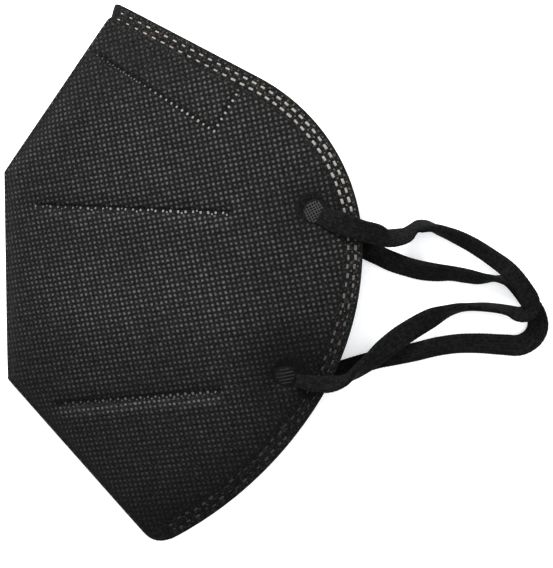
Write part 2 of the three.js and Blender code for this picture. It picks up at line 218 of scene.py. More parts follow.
@dataclass(frozen=True)
class WeldLine:
    """A welded line pressed into both panels, steep above it and open below it."""

    name: str
    start: tuple[float, float]
    end: tuple[float, float]
    depth: float
    shelf: float
    upper_reach: float
    lower_reach: float
    end_ease: float
    lit: float = 0.0
    lit_reach: float = 5.0
    lower_shelf: float = 0.3

    @property
    def is_rib(self) -> bool:
        """Whether the line is a deep rib and not a line of the nose pocket."""
        return self.name.endswith("rib")

    @property
    def length(self) -> float:
        """The line's length."""
        return math.dist(self.start, self.end)

    @property
    def heading(self) -> Array:
        """The line's direction."""
        return unit(np.subtract(self.end, self.start))

    @property
    def side(self) -> Array:
        """The direction to the left of the line."""
        return np.array((-self.heading[1], self.heading[0]))

    def at(self, along: Array) -> Array:
        """Flat places some way along the line."""
        return np.array(self.start) + along[:, None] * self.heading

    def place(self, points: Array) -> tuple[Array, Array]:
        """Distances of flat points along the line, and signed distances above it."""
        away = points - np.array(self.start)
        return away @ self.heading, cross(self.heading, away)

    def ends(self, along: Array, low: float, high: float) -> Array:
        """A share that eases in at both of the line's ends."""
        return smooth(along, low, high) * smooth(self.length - along, low, high)

    def groove(self, points: Array) -> Array:
        """How deep the line presses the cloth at some places."""
        along, above = self.place(points)
        upper, lower = above - self.shelf, -above - self.lower_shelf
        over = 0.6 * smooth(upper, 0.0, 0.7) + 0.4 * smooth(upper, 0.0, self.upper_reach)
        under = 0.3 * smooth(lower, 0.0, 1.0) + 0.7 * smooth(lower, 0.0, self.lower_reach)
        profile = 1.0 - np.where(above > 0.0, over, under)
        return self.depth * profile * self.ends(along, -self.end_ease, self.end_ease)

    def tone(self, points: Array) -> Array:
        """What the line multiplies the cloth's tone by: painted shade over a rib and painted light
        under it, and for a pocket line a painted dark line along its crease.
        """
        along, above = self.place(points)
        ends = self.ends(along, -2.0, 4.0)
        if not self.is_rib:
            return 1.0 - 0.5 * ends * fade(np.abs(above - 0.45), 0.3, 0.9)
        shadow = smooth(above, 0.2, 1.2) * fade(above, 1.6, 6.5)
        light = smooth(-above, 0.2, 1.2) * fade(-above, 2.4, self.lit_reach)
        return (1.0 - 0.12 * shadow * ends) * (1.0 + self.lit * light * ends)


@dataclass(frozen=True)
class PaintedShadingPatch:
    """A round patch of painted light (lighter) or painted shade (darker) on the cloth: in full up to
    one reach, none past another.
    """

    x: float
    y: float
    full: float
    reach: float
    change: float

    def at(self, points: Array) -> Array:
        """What the patch multiplies the cloth's tone by at flat places."""
        return 1.0 + self.change * fade(apart(points, (self.x, self.y)), self.full, self.reach)


@dataclass(frozen=True)
class PaintedShadingBand:
    """A band of painted shade: a change of the cloth's tone between two places along X (axis 0) or Y
    (axis 1).
    """

    axis: int
    low: float
    high: float
    start: float
    end: float = 1.0

    def at(self, points: Array) -> Array:
        """What the band multiplies the cloth's tone by at flat places."""
        return blend(self.start, self.end, smooth(points[:, self.axis], self.low, self.high))


@dataclass(frozen=True)
class PadSpot:
    """A place where an ear loop's end is welded on: its centre, half sizes and turn, its ridges, and
    the painted shade that darkens the cloth around it.
    """

    name: str
    x: float
    y: float
    half_long: float
    half_wide: float
    turn: float
    hatch: float
    pitch: float
    rise: float
    crossed: bool
    halo: tuple[float, float]
    shade: float
    shade_rise: float

    @property
    def centre(self) -> Array:
        """The pad's centre."""
        return np.array((self.x, self.y))


WELD_LINES = (
    WeldLine("upper_rib", (-44.3, 19.9), (14.7, 17.7), 1.1, 0.5, 3.8, 3.0, 1.8, 0.08, 7.0),
    WeldLine("lower_rib", (-38.4, -39.3), (11.6, -35.4), 1.1, 0.7, 3.4, 3.2, 1.6, 0.5, 5.2),
    WeldLine("nose_pocket", (-27.4, 66.2), (9.2, 42.1), 0.4, 0.25, 1.6, 1.4, 0.8),
    WeldLine("pocket_end", (9.2, 42.1), (15.8, 53.1), 0.35, 0.25, 1.4, 1.4, 0.8),
)

PAD_SPOTS = (
    PadSpot(
        "upper_weld_pad", 39.0, 18.2, 3.9, 3.4, 58.0, 28.0, 0.84, 1.0, True, (-0.9, 1.2), 0.2, 0.0
    ),
    PadSpot(
        "lower_weld_pad", 30.5, -30.7, 3.3, 2.8, 8.0, 10.0, 1.05, 0.4, False, (1.6, 1.4), 0.42, 4.0
    ),
)

# Painted shade and light for the cloth: darker towards the fold, the upper left, right of the middle
# and the chin's half, lighter beside the lower weld pad.
FOLD_PAINTED_SHADE = PaintedShadingBand(0, -54.0, -30.0, 0.82, 0.95)
PAINTED_SHADING = (
    PaintedShadingPatch(29.0, -35.0, 1.5, 5.0, 0.36),
    PaintedShadingPatch(-36.0, 49.0, 6.0, 20.0, -0.12),
    PaintedShadingPatch(24.0, -5.0, 4.0, 17.0, -0.11),
    PaintedShadingPatch(45.0, -9.0, 4.0, 16.0, -0.12),
    PaintedShadingBand(1, -72.0, -50.0, 0.86),
    PaintedShadingBand(1, -30.0, -12.0, 0.88),
)


@dataclass(frozen=True)
class MaskForm:
    """The folded shell's outline and the smooth heights of its two panels.

    The rim runs from the nose corner to the chin corner, and the back edge from the chin
    corner along the chin seam, the fold and the nose seam to the nose corner.
    """

    rim_start: tuple[float, float] = (-19.2, 80.5)
    rim_heading: float = -28.0
    rim: tuple[RimStretch, ...] = (
        RimStretch(47.4, 0.0),
        RimStretch(62.6, 62.0),
        RimStretch(48.4, 32.0),
        RimStretch(60.8, 30.0),
    )
    back: tuple[tuple[float, float], ...] = (
        (-12.7, -77.4),
        (-52.8, -31.8),
        (-53.8, 30.2),
        (-49.4, 37.0),
        (-23.0, 76.2),
    )
    half_box: tuple[float, float] = (54.0, 81.0)
    wall: float = 1.6
    band_width: float = 5.5
    band_wall: float = 1.1
    band_press: float = 0.25
    wall_ease: float = 3.0
    corner_bottom: float = 1.2
    corner_top: float = 3.0
    rim_bottom: float = 2.8
    rim_top: float = 11.0
    crown: float = 12.4
    back_rise: float = 15.0
    back_undercut: float = 5.0
    rim_fall: float = 32.0
    lift_start: float = 29.0
    lift_end: float = 19.0
    fold_bottom: float = 1.3
    fold_top: float = 4.4
    seam_bottom: float = 1.0
    seam_top: float = 2.6
    swell_power: float = 0.75
    fold_blend: tuple[float, float] = (-0.02, 0.06)

    @property
    def rim_length(self) -> float:
        """The rim's whole length."""
        return sum(stretch.length for stretch in self.rim)

    @property
    def fold_x(self) -> float:
        """Where the fold lies along X."""
        return self.back[1][0]

    def rim_at(self, along: Array) -> tuple[Array, Array]:
        """Places on the rim, and its headings there, at distances from the nose corner."""
        place, heading = np.empty((len(along), 2)), np.empty(len(along))
        start, angle, reached = np.array(self.rim_start), math.radians(self.rim_heading), 0.0
        for stretch in self.rim:
            here = along >= reached - 1e-9
            part = np.minimum(along[here] - reached, stretch.length)
            place[here], heading[here] = stretch.go(start, angle, part)
            ends, turned = stretch.go(start, angle, np.array([stretch.length]))
            start, angle = ends[0], float(turned[0])
            reached += stretch.length
        return place, np.stack((np.cos(heading), np.sin(heading)), -1)

    def back_at(self, share: Array) -> Array:
        """Places on the back edge at shares of its length."""
        points = np.array(self.back)
        lengths = lengths_along(points)
        return read_between(share * lengths[-1], lengths, points)

    def cross_place(self, points: Array) -> tuple[Array, Array, Array]:
        """Finds the line across the mask that each point lies on, by halving.

        Args:
            points: Flat places, one a row.

        Returns:
            Each line's place from chin to nose, its width, and the point's distance from
            its back end.
        """
        low, high = np.zeros(len(points)), np.ones(len(points))
        for _ in range(24):
            middle = (low + high) / 2.0
            back = self.back_at(middle)
            rim, _ = self.rim_at((1.0 - middle) * self.rim_length)
            above = cross(rim - back, points - back) > 0.0
            low, high = np.where(above, middle, low), np.where(above, high, middle)
        return middle, apart(rim, back), apart(points, back)

    def from_rim(self, points: Array) -> tuple[Array, Array]:
        """True distances of flat points from the rim, and the nearest places along it."""
        step = 0.5
        along = np.linspace(0.0, self.rim_length, int(self.rim_length / step) + 1)
        rim, heading = self.rim_at(along)
        found = []
        for first in range(0, len(points), CHUNK):
            away = points[first : first + CHUNK, None] - rim[None]
            squares = (away**2).sum(-1)
            index = squares.argmin(1)
            rows = np.arange(len(away))
            ahead = (away[rows, index] * heading[index]).sum(-1)
            ahead = np.clip(ahead, -step / 2.0, step / 2.0)
            beside = np.maximum(squares[rows, index] - ahead**2, 0.0)
            found.append((np.sqrt(beside), along[index] + ahead))
        distance, nearest = np.hstack(found) if found else np.zeros((2, 0))
        return distance, nearest

    def from_seams(self, points: Array) -> Array:
        """Distances from the chin seam and the nose seam, whichever is nearer."""
        nearest = np.full(len(points), 1e3)
        for start, end in (self.back[:2], self.back[3:]):
            way = np.subtract(end, start)
            away = points - np.array(start)
            share = np.clip(away @ way / (way @ way), 0.0, 1.0)
            nearest = np.minimum(nearest, apart(away, share[:, None] * way))
        return nearest

    def near_fold(self, points: Array, low: float, high: float) -> Array:
        """A share that fades away from the fold, and is 0 off its ends."""
        past = points[:, 0] - self.fold_x
        return fade(past, low, high) * (np.abs(points[:, 1] + 1.0) < 34.0)

    def heights(self, points: Array) -> tuple[Array, Array, Array]:
        """The smooth outer heights of both panels, before any weld presses them.

        Args:
            points: Flat places, one a row.

        Returns:
            The upper panel's and lower panel's outer heights, and the cloth's wall.
        """
        place, width, from_back = self.cross_place(points)
        from_rim = np.maximum(width - from_back, 0.0)
        full = np.sin(math.pi * np.clip(place, 0.0, 1.0)) ** self.swell_power
        lengths = lengths_along(np.array(self.back))
        fold_start, fold_end = lengths[1] / lengths[-1], lengths[-2] / lengths[-1]
        fold = smooth(np.minimum(place - fold_start, fold_end - place), *self.fold_blend)
        narrow = np.minimum(1.0, width / (self.back_rise + self.rim_fall))
        rise = quarter_round(from_back / (self.back_rise * narrow))
        fall = (1.0 - np.clip(from_rim / (self.rim_fall * narrow), 0.0, 1.0)) ** 2

        crown = blend(self.corner_top, self.crown, full)
        rim_top = blend(self.corner_top, self.rim_top, full)
        edge_top = blend(self.seam_top, self.fold_top, fold)
        top = blend(edge_top, crown, rise) - (crown - rim_top) * fall

        lift = fade(from_rim / narrow, self.lift_end, self.lift_start)
        rim_bottom = blend(self.corner_bottom, self.rim_bottom, np.minimum(1.0, 2.0 * full))
        edge_bottom = blend(self.seam_bottom, self.fold_bottom, fold)
        undercut = 1.0 - quarter_round(from_back / (self.back_undercut * narrow))
        bottom = np.maximum(edge_bottom * undercut, rim_bottom * lift)
        thick = smooth(from_rim, self.band_width, self.band_width + self.wall_ease)
        return top, bottom, blend(self.band_wall, self.wall, thick)


@dataclass(frozen=True)
class BondLattice:
    """The lattice of small bonded dots that holds the cloth's fibres together.

    The counts are dots a millimetre. The cloth is stretched away from the fold, so its dots
    stand further apart towards the rim and its rows fan out a little.
    """

    fold_x: float = -53.8
    rows: tuple[float, float] = (0.734, 0.154)
    columns: tuple[float, float] = (-0.11, 0.683)
    stretch: float = 0.00067
    widen: float = 0.00075
    fan: tuple[float, float] = (0.00024, 0.00019)
    fold_ease: float = 10.0
    depth: float = 0.16
    radius: float = 0.46
    pitch: float = 1.5

    def to_cells(self, sheet: Array) -> Array:
        """Turns places on the flat cloth into lattice cells."""
        x, y = sheet[:, 0] - self.fold_x, sheet[:, 1]
        spread = np.hypot(x, self.fold_ease) - self.fold_ease
        across = self.rows[0] * x + self.rows[1] * y - self.stretch * x * np.abs(x)
        across = across - self.fan[0] * x * y - self.fan[1] * y * y
        up = self.columns[0] * x + self.columns[1] * y - self.widen * spread * y
        return np.stack((across, up), -1)

    def to_sheet(self, cells: Array) -> Array:
        """The opposite of to_cells(), by a few corrections."""
        back = np.linalg.inv(np.array((self.rows, self.columns)))
        sheet = cells @ back.T
        for _ in range(14):
            sheet = sheet + (cells - self.to_cells(sheet)) @ back.T
        return sheet

    def pits(self, cells: Array) -> Array:
        """How deep the bonded dots press the cloth at some cells."""
        off = (cells - np.round(cells)) * self.pitch
        return self.depth * np.exp(-(off**2).sum(-1) / self.radius**2)


@dataclass(frozen=True)
class RimWelds:
    """The two rows of welded dashes along the rim, and the small dots beside them."""

    rows: tuple[float, float] = (2.1, 4.2)
    margin: float = 1.9
    pitch: float = 3.0
    dash_long: float = 1.65
    dash_wide: float = 0.8
    depth: float = 0.2
    edge_dots: float = 1.05
    middle_dots: float = 3.15
    press_ease: tuple[float, float] = (-0.05, 0.4)

    def places(self, rim_length: float) -> Array:
        """Where the dashes' middles are along the rim."""
        count = round((rim_length - 2.0 * self.margin) / self.pitch) + 1
        return np.linspace(self.margin, rim_length - self.margin, count)

    def recess(self, distance: Array, along: Array, rim_length: float) -> Array:
        """How deep the dashes press the cloth.

        Args:
            distance: Distances from the rim.
            along: Places along the rim.
            rim_length: The rim's whole length.

        Returns:
            The depth at each place.
        """
        places = self.places(rim_length)
        step = places[1] - places[0]
        index = np.clip(np.round((along - places[0]) / step), 0, len(places) - 1)
        ahead = np.abs(along - places[0] - index * step) - self.dash_long / 2.0
        total = np.zeros_like(distance)
        for row in self.rows:
            aside = np.abs(distance - row) - self.dash_wide / 2.0
            total = total + fade(np.maximum(ahead, aside), *self.press_ease)
        return self.depth * total


@dataclass
class Cloth:
    """The pressed and swollen surface of the shell, asked for at any place."""

    form: MaskForm = MaskForm()
    lattice: BondLattice = BondLattice()
    welds: RimWelds = RimWelds()
    column_step: float = 0.5
    row_step: float = 1.0
    steepest: float = 1.5
    slope_reach: float = 0.6
    swell: float = 0.16
    swell_wave: float = 34.0
    rest_share: float = 0.5
    rest_press: float = 0.08
    pucker: float = 0.09
    pad_sink: float = 0.7
    pad_dip: float = 0.25

    def __post_init__(self) -> None:
        """Measures the cloth's unfolded length across each row."""
        wide, tall = self.form.half_box
        self.columns = np.arange(-wide, wide + 0.01, self.column_step)
        self.rows = np.arange(-tall, tall + 0.01, self.row_step)
        heights = self.form.heights(grid_of(self.columns, self.rows))
        self.unfolded = {panel: self._arc(rows) for panel, rows in zip(Panel, heights)}
        fold = np.array([[self.form.fold_x, 0.0]])
        self.round_fold = sum(self._look_up(self.unfolded[panel], fold)[0] for panel in Panel)

    def _arc(self, heights: Array) -> Array:
        """Lengths along each row of the surface, counted from X = 0."""
        heights = heights.reshape(len(self.rows), len(self.columns))
        step = self.columns[1] - self.columns[0]
        rise = np.clip(np.diff(heights, axis=1) / step, -self.steepest, self.steepest)
        arc = np.cumsum(np.sqrt(1.0 + rise**2) * step, axis=1)
        arc = np.concatenate((np.zeros((len(self.rows), 1)), arc), axis=1)
        middle = np.searchsorted(self.columns, 0.0)
        return arc - arc[:, middle : middle + 1]

    def _look_up(self, table: Array, points: Array) -> Array:
        """Reads a table of rows and columns between its entries."""
        column = (points[:, 0] - self.columns[0]) / (self.columns[1] - self.columns[0])
        row = (points[:, 1] - self.rows[0]) / (self.rows[1] - self.rows[0])
        column = np.clip(column, 0.0, len(self.columns) - 1.001)
        row = np.clip(row, 0.0, len(self.rows) - 1.001)
        left, low = column.astype(int), row.astype(int)
        across, up = column - left, row - low
        lower = blend(table[low, left], table[low, left + 1], across)
        upper = blend(table[low + 1, left], table[low + 1, left + 1], across)
        return blend(lower, upper, up)

    def sheet(self, panel: Panel, points: Array) -> Array:
        """Where a panel's flat places lie on the cloth, unfolded about the fold."""
        across = self._look_up(self.unfolded[panel], points)
        if panel is Panel.LOWER:
            across = self.round_fold - across
        return np.stack((across, points[:, 1]), -1)

    def from_sheet(self, panel: Panel, sheet: Array) -> Array:
        """The opposite of sheet(), by a few corrections."""
        points = sheet.copy()
        if panel is Panel.LOWER:
            points[:, 0] = self.round_fold - sheet[:, 0]
        for _ in range(8):
            error = sheet[:, 0] - self.sheet(panel, points)[:, 0]
            points[:, 0] += panel.value * error * 0.85
        return points

    def tone(self, points: Array) -> Array:
        """Painted light and shade for the cloth's colour: darker towards the fold, the weld pads, the
        lower right rim, the chin and above the ribs, lighter in the middle, below the ribs and on the
        fold's rounded edge, with a painted dark line in each pocket line's crease.

        Args:
            points: Flat places, one a row.

        Returns:
            Tones around 1.
        """
        x, y = points[:, 0], points[:, 1]
        distance, along = self.form.from_rim(points)
        # Painted light over the middle, and painted shade towards the fold.
        middle = bell(y, -6.0, 11.0) * fade(x, 16.0, 30.0)
        tone = FOLD_PAINTED_SHADE.at(points) * (1.0 + 0.16 * middle * smooth(x, -50.0, -30.0))
        # Painted shade around each weld pad.
        for spot in PAD_SPOTS:
            away = apart(points, spot.centre + (0.0, spot.shade_rise))
            tone = tone - spot.shade * fade(away, 4.0, 19.0)
        # Painted shade along the lower right rim.
        tone = tone * (1.0 - 0.3 * smooth(along, 118.0, 150.0) * fade(distance, 3.0, 22.0))
        for change in PAINTED_SHADING:
            tone = tone * change.at(points)
        for line in WELD_LINES:
            tone = tone * line.tone(points)
        # Painted light on the fold's rounded edge.
        return tone + 0.3 * self.form.near_fold(points, 1.4, 4.0)

    def _flattened(self, points: Array) -> tuple[Array, Array]:
        """How far the welds and pads sink the cloth, and how much its bonded dots are taken away:
        near the welds and pads, and over a wide reach towards the nose corner.
        """
        near_weld = 0.85 * fade(self.form.from_seams(points), 0.6, 4.4)
        # The dots fade and flatten over a wide reach towards the nose corner, not only at its seam.
        corner = apart(points, self.form.rim_start)
        near_weld = np.maximum(near_weld, 0.62 * fade(corner, 16.0, 46.0))
        sunk = np.zeros(len(points))
        for line in WELD_LINES:
            groove = line.groove(points)
            sunk = sunk + groove
            near_weld = np.maximum(near_weld, smooth(groove / line.depth, 0.6, 0.92))
        for spot in PAD_SPOTS:
            away = apart(points, spot.centre)
            sunk = sunk + self.pad_sink * fade(away, 3.2, 5.2)
            sunk = sunk + self.pad_dip * bell(away, 0.0, 7.0)
            halo = apart(points, spot.centre + spot.halo)
            near_weld = np.maximum(near_weld, fade(halo, 4.2, 5.6))
        return sunk, near_weld

    def relief(self, panel: Panel, points: Array, cells: Array) -> tuple[Array, Array]:
        """How far the outer face stands out from the smooth form.

        Args:
            panel: Which panel.
            points: Flat places, one a row.
            cells: The same places in the bonded lattice.

        Returns:
            Heights outward, mostly below zero, then three columns: how much each place is
            pressed flat by a weld, how much it is part of the rim's band, and its tone of painted
            light and shade.
        """
        form = self.form
        distance, along = form.from_rim(points)
        in_field = smooth(distance, form.band_width + 0.15, form.band_width + 0.95)
        in_band = 1.0 - in_field
        sunk, near_weld = self._flattened(points)
        pits = self.lattice.pits(cells) * in_field * (1.0 - near_weld)
        dashes = self.welds.recess(distance, along, form.rim_length) * in_band
        seed = 3 if panel is Panel.UPPER else 8
        swell = self.swell * ripple(points[:, 0], points[:, 1], self.swell_wave, seed)
        if panel is Panel.LOWER:
            swell = swell * self.rest_share - self.rest_press
        pucker = self.pucker * np.sin(along * 0.83 + 1.3 * np.sin(along * 0.11))
        pucker = pucker * bell(distance, 7.0, 3.2) * in_field
        height = swell * in_field + pucker - pits - form.band_press * in_band - dashes - sunk
        pressed = np.maximum(in_band, near_weld)
        pressed = np.maximum(pressed, 0.7 * form.near_fold(points, 1.2, 5.0))
        return height, np.stack((pressed, in_band, self.tone(points)), -1)

    def outer(self, panel: Panel, points: Array) -> tuple[Array, Array, Array]:
        """The outer face of one panel.

        Args:
            panel: Which panel.
            points: Flat places, one a row.

        Returns:
            Points in space, their lattice cells, and the three columns from relief().
        """
        top, bottom, _ = self.form.heights(points)
        cells = self.lattice.to_cells(self.sheet(panel, points))
        relief, pressed = self.relief(panel, points, cells)
        height = top + relief if panel is Panel.UPPER else np.maximum(bottom - relief, 0.0)
        return np.column_stack((points, height)), cells, pressed

    def normals(self, panel: Panel, points: Array) -> Array:
        """Outward directions of the smooth form, without the relief."""
        reach = self.slope_reach
        steps = reach * np.array(((1, 0), (-1, 0), (0, 1), (0, -1)), float)
        pick = 0 if panel is Panel.UPPER else 1
        sides = [self.form.heights(points + step)[pick] for step in steps]
        slope_x = (sides[0] - sides[1]) / (2.0 * reach)
        slope_y = (sides[2] - sides[3]) / (2.0 * reach)
        return unit(np.stack((-slope_x, -slope_y, np.ones(len(points))), -1)) * panel.value


# ------------------------------------------------------------------ meshes


def inside(points: Array, outline: Array) -> Array:
    """Which flat points lie inside a closed outline, given by its corners in order."""
    found = np.zeros(len(points), bool)
    x, y = points[:, 0], points[:, 1]
    for (x0, y0), (x1, y1) in zip(outline, np.roll(outline, -1, axis=0), strict=True):
        if y0 != y1:
            between = (y > y0) != (y > y1)
            found ^= between & (x < x0 + (y - y0) * (x1 - x0) / (y1 - y0))
    return found


def clear_of(points: Array, others: Array, gap: float) -> Array:
    """Which points are at least a gap from all the others."""
    keep = np.empty(len(points), bool)
    for first in range(0, len(points), CHUNK):
        away = points[first : first + CHUNK, None] - others[None]
        keep[first : first + CHUNK] = (away**2).sum(-1).min(1) > gap**2
    return keep


def fill(outline: Array, inner: Array) -> Array:
    """Triangulates the inside of an outline through every inner point.

    Args:
        outline: The outline's corners, anticlockwise.
        inner: Points inside it.

    Returns:
        Triangles as rows of indices into the outline followed by the inner points.
    """
    points = [Vector(point) for point in np.vstack((outline, inner))]
    made = delaunay_2d_cdt(points, [], [list(range(len(outline)))], 1, 1e-7)
    origin = np.array([sources[0] for sources in made[3]])
    return origin[np.array(made[2])]


def ladder(first: Array, second: Array) -> Array:
    """Joins two rows of as many points by triangles."""
    a, b, c, d = first[:-1], first[1:], second[1:], second[:-1]
    return np.vstack((np.stack((a, b, c), -1), np.stack((a, c, d), -1)))


def zip_rows(first: Array, second: Array) -> Array:
    """Joins two rows that start at one shared point by triangles."""
    faces, i, j = [], 0, 0
    last, final = len(first) - 1, len(second) - 1
    while i < last or j < final:
        if j == final or (i < last and (i + 1) / last <= (j + 1) / final):
            face = (first[i], first[i + 1], second[j])
            i += 1
        else:
            face = (first[i], second[j + 1], second[j])
            j += 1
        if len(set(face)) == 3:
            faces.append(face)
    return np.array(faces)


def linked(name: str, data: bpy.types.ID) -> Piece:
    """An object of that name and data, in the scene."""
    made = bpy.data.objects.new(name, data)
    bpy.context.scene.collection.objects.link(made)
    return made


def new_object(name: str, vertices: Array, faces: list) -> Piece:
    """Makes an object at the origin from points in millimetres, with its faces outward.

    Args:
        name: The object's name.
        vertices: Points, one a row.
        faces: Rows of indices.

    Returns:
        The object, linked to the scene.
    """
    mesh = bpy.data.meshes.new(name)
    mesh.from_pydata((np.asarray(vertices) * MM).tolist(), [], faces)
    form = bmesh.new()
    form.from_mesh(mesh)
    bmesh.ops.recalc_face_normals(form, faces=form.faces)
    form.to_mesh(mesh)
    form.free()
    return linked(name, mesh)


def corner_points(mesh: bpy.types.Mesh) -> Array:
    """The index of the point at every corner of every face."""
    corners = np.empty(len(mesh.loops), int)
    mesh.loops.foreach_get("vertex_index", corners)
    return corners


def write_map(mesh: bpy.types.Mesh, name: str, values: Array) -> None:
    """Stores flat coordinates for every corner of every face."""
    mesh.uv_layers.new(name=name).data.foreach_set("uv", values.ravel())


def shade(piece: Piece, sharp: float) -> None:
    """Shades a piece smooth, apart from edges that turn more than sharp degrees."""
    mesh = piece.data
    mesh.polygons.foreach_set("use_smooth", [True] * len(mesh.polygons))
    mesh.set_sharp_from_angle(angle=math.radians(sharp))
    mesh.update()


def seat(piece: Piece, material: Material, replaces: str = "") -> None:
    """Gives a piece its material and puts it on the object's one body.

    Args:
        piece: The piece.
        material: Its material, unless it has its own.
        replaces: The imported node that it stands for, if any.
    """
    if not piece.data.materials:
        piece.data.materials.append(material)
    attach(piece, ROOT)
    if replaces:
        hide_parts(replaces)
    LOG.info("%s: %d faces", piece.name, len(piece.data.polygons))


# ------------------------------------------------------------------ the shell


@dataclass
class Shell:
    """The folded cloth shell as one closed mesh: two outer faces, the rolled back edge,
    the raw cut edge along the rim, and the two faces inside the hollow."""

    cloth: Cloth
    rim_step: float = 0.5
    back_step: float = 0.8
    corner_inset: float = 0.45
    back_inset: float = 1.0
    corner_ease: float = 4.0
    seam_crease: float = 0.3
    crease_reach: float = 0.3
    roll_rows: int = 4
    roll_probe: float = 0.4
    steepest: float = 1.6
    lining_inset: float = 2.4
    lining_step: float = 2.6
    lining_skip: int = 3
    least_gap: float = 0.06
    chin_bulge: float = 1.8
    chin_steps: int = 7
    line_step: float = 0.5
    line_clear: float = 0.25
    point_gap: float = 0.4
    upper_parts: int = 3
    lower_parts: int = 2
    sheet_reach: float = 62.0
    ply_ease: float = 6.0
    band_end: tuple[tuple[float, float], ...] = (
        (-21.9, 76.9), (-21.5, 78.6), (-20.9, 80.4), (-20.2, 80.8)
    )
    dash_rows: tuple[float, ...] = (-0.6, -0.3, 0.0, 0.3, 0.6)
    band_rows: tuple[float, ...] = (0.35, 0.75, 1.15, 3.15, 5.2, 5.6, 6.0)
    rib_rows: tuple[float, ...] = (
        -2.2, -1.5, -1.0, -0.6, -0.3, 0.0, 0.3, 0.5, 0.7, 0.9, 1.1, 1.3, 1.7, 2.3
    )
    pocket_rows: tuple[float, ...] = (-1.1, -0.7, -0.3, 0.0, 0.3, 0.7, 1.1)
    plies: tuple[tuple[float, float], ...] = (
        (0.14, -0.04), (0.3, 0.1), (0.46, -0.04), (0.62, 0.1), (0.82, -0.04)
    )
    points: list[Array] = field(default_factory=list)
    faces: list[Array] = field(default_factory=list)
    kinds: list[Array] = field(default_factory=list)
    cells: list[tuple[ShellFace, Array, Array]] = field(default_factory=list)
    pressed: list[tuple[Array, Array]] = field(default_factory=list)

    def __post_init__(self) -> None:
        """Sets out the boundary lines that the shell's faces share."""
        form = self.cloth.form
        first, last = self.corner_inset, form.rim_length - self.corner_inset
        count = round((last - first) / self.rim_step) + 1
        self.rim_along = np.linspace(last, first, count)
        self.rim_places, heading = form.rim_at(self.rim_along)
        self.rim_into = right_of(heading)
        self._set_out_back()
        self.back_inner = self.back_places + self.back_into * self.inset[:, None]
        self.outline = np.vstack((self.rim_places, self.back_inner[1:-1][::-1]))

    def _back_corners(self) -> Array:
        """The back edge's corners, with the rounded chin and the rim band's own end."""
        form = self.cloth.form
        (start, end), _ = form.rim_at(np.array((0.0, form.rim_length)))
        chin = np.array(form.back[0])
        share = np.linspace(0.0, 1.0, self.chin_steps + 1)[:-1, None]
        bow = right_of(unit(end - chin)) * self.chin_bulge * 4.0 * share * (1.0 - share)
        return np.vstack((blend(end, chin, share) + bow, form.back, self.band_end, start))

    def _set_out_back(self) -> None:
        """Steps evenly along the back edge, from the rim's chin end to its nose end.

        It keeps the places, the directions into the cloth, and how far the outer faces
        start inward of the edge.
        """
        form = self.cloth.form
        corners = self._back_corners()
        lengths = lengths_along(corners)
        stops = [np.zeros(1)]
        for first, last in zip(lengths[:-1], lengths[1:], strict=True):
            count = max(1, round((last - first) / self.back_step))
            stops.append(np.linspace(first, last, count + 1)[1:])
        at = np.concatenate(stops)
        self.back_places = read_between(at, lengths, corners)
        self.back_into = right_of(unit(np.gradient(self.back_places, axis=0)))
        _, headings = form.rim_at(np.array((0.0, form.rim_length)))
        self.back_into[0], self.back_into[-1] = -headings[1], headings[0]
        ease = smooth(np.minimum(at, at[-1] - at), 0.0, self.corner_ease)
        self.inset = blend(self.corner_inset, self.back_inset, ease)

    # -------------------------------------------------------------- points on the faces

    def _rows(self, line: WeldLine) -> tuple[float, ...]:
        """How far from a welded line the rows of points beside it are."""
        return self.rib_rows if line.is_rib else self.pocket_rows

    def _line_points(self) -> Array:
        """Points in rows beside every welded line."""
        found = []
        for line in WELD_LINES:
            along = line.at(np.arange(-0.5, line.length + 0.6, self.line_step))
            found += [along + row * line.side for row in self._rows(line)]
        return np.vstack(found)

    def _off_lines(self, points: Array) -> Array:
        """Which points stand clear of the rows beside the welded lines."""
        clear = np.ones(len(points), bool)
        for line in WELD_LINES:
            along, above = line.place(points)
            beside = np.abs(above) < self._rows(line)[-1] + self.line_clear
            clear &= ~(beside & (along > -0.75) & (along < line.length + 0.75))
        return clear

    def _lattice_points(self, panel: Panel, parts: int) -> Array:
        """Points on the bonded lattice that cover one panel and more.

        Args:
            panel: Which panel.
            parts: Into how many steps a lattice cell is divided each way.

        Returns:
            Flat places, one a row.
        """
        cloth, (wide, tall) = self.cloth, self.cloth.form.half_box
        reach = self.sheet_reach
        box = np.array(((-reach, -tall), (reach, -tall), (reach, tall), (-reach, tall)))
        if panel is Panel.LOWER:
            box[:, 0] = cloth.round_fold - box[:, 0]
        edges = [blend(box[k - 1], box[k], np.linspace(0, 1, 20)[:, None]) for k in range(4)]
        corners = cloth.lattice.to_cells(np.vstack(edges)) * parts
        low, high = np.floor(corners.min(0)), np.ceil(corners.max(0))
        cells = grid_of(*(np.arange(low[k], high[k] + 1.0) / parts for k in (0, 1)))
        points = cloth.from_sheet(panel, cloth.lattice.to_sheet(cells))
        return points[(np.abs(points[:, 0]) < wide) & (np.abs(points[:, 1]) < tall)]

    def face_points(self, panel: Panel, parts: int) -> Array:
        """All points inside the outline of one outer face.

        Args:
            panel: Which panel.
            parts: Into how many steps a lattice cell is divided each way.

        Returns:
            Flat places, one a row.
        """
        cloth = self.cloth
        dashes = [row + step for row in cloth.welds.rows for step in self.dash_rows]
        rows = sorted((*self.band_rows, *dashes))
        band = np.vstack([self.rim_places + self.rim_into * row for row in rows])
        field_start = self.band_rows[-1] + 0.3
        lines = self._line_points()
        lines = lines[cloth.form.from_rim(lines)[0] > field_start]
        points = self._lattice_points(panel, parts)
        points = points[inside(points, self.outline)]
        points = points[self._off_lines(points)]
        points = points[cloth.form.from_rim(points)[0] > field_start]
        points = np.vstack((band, lines, points))
        points = points[inside(points, self.outline)]
        return points[clear_of(points, self.back_inner, self.point_gap)]

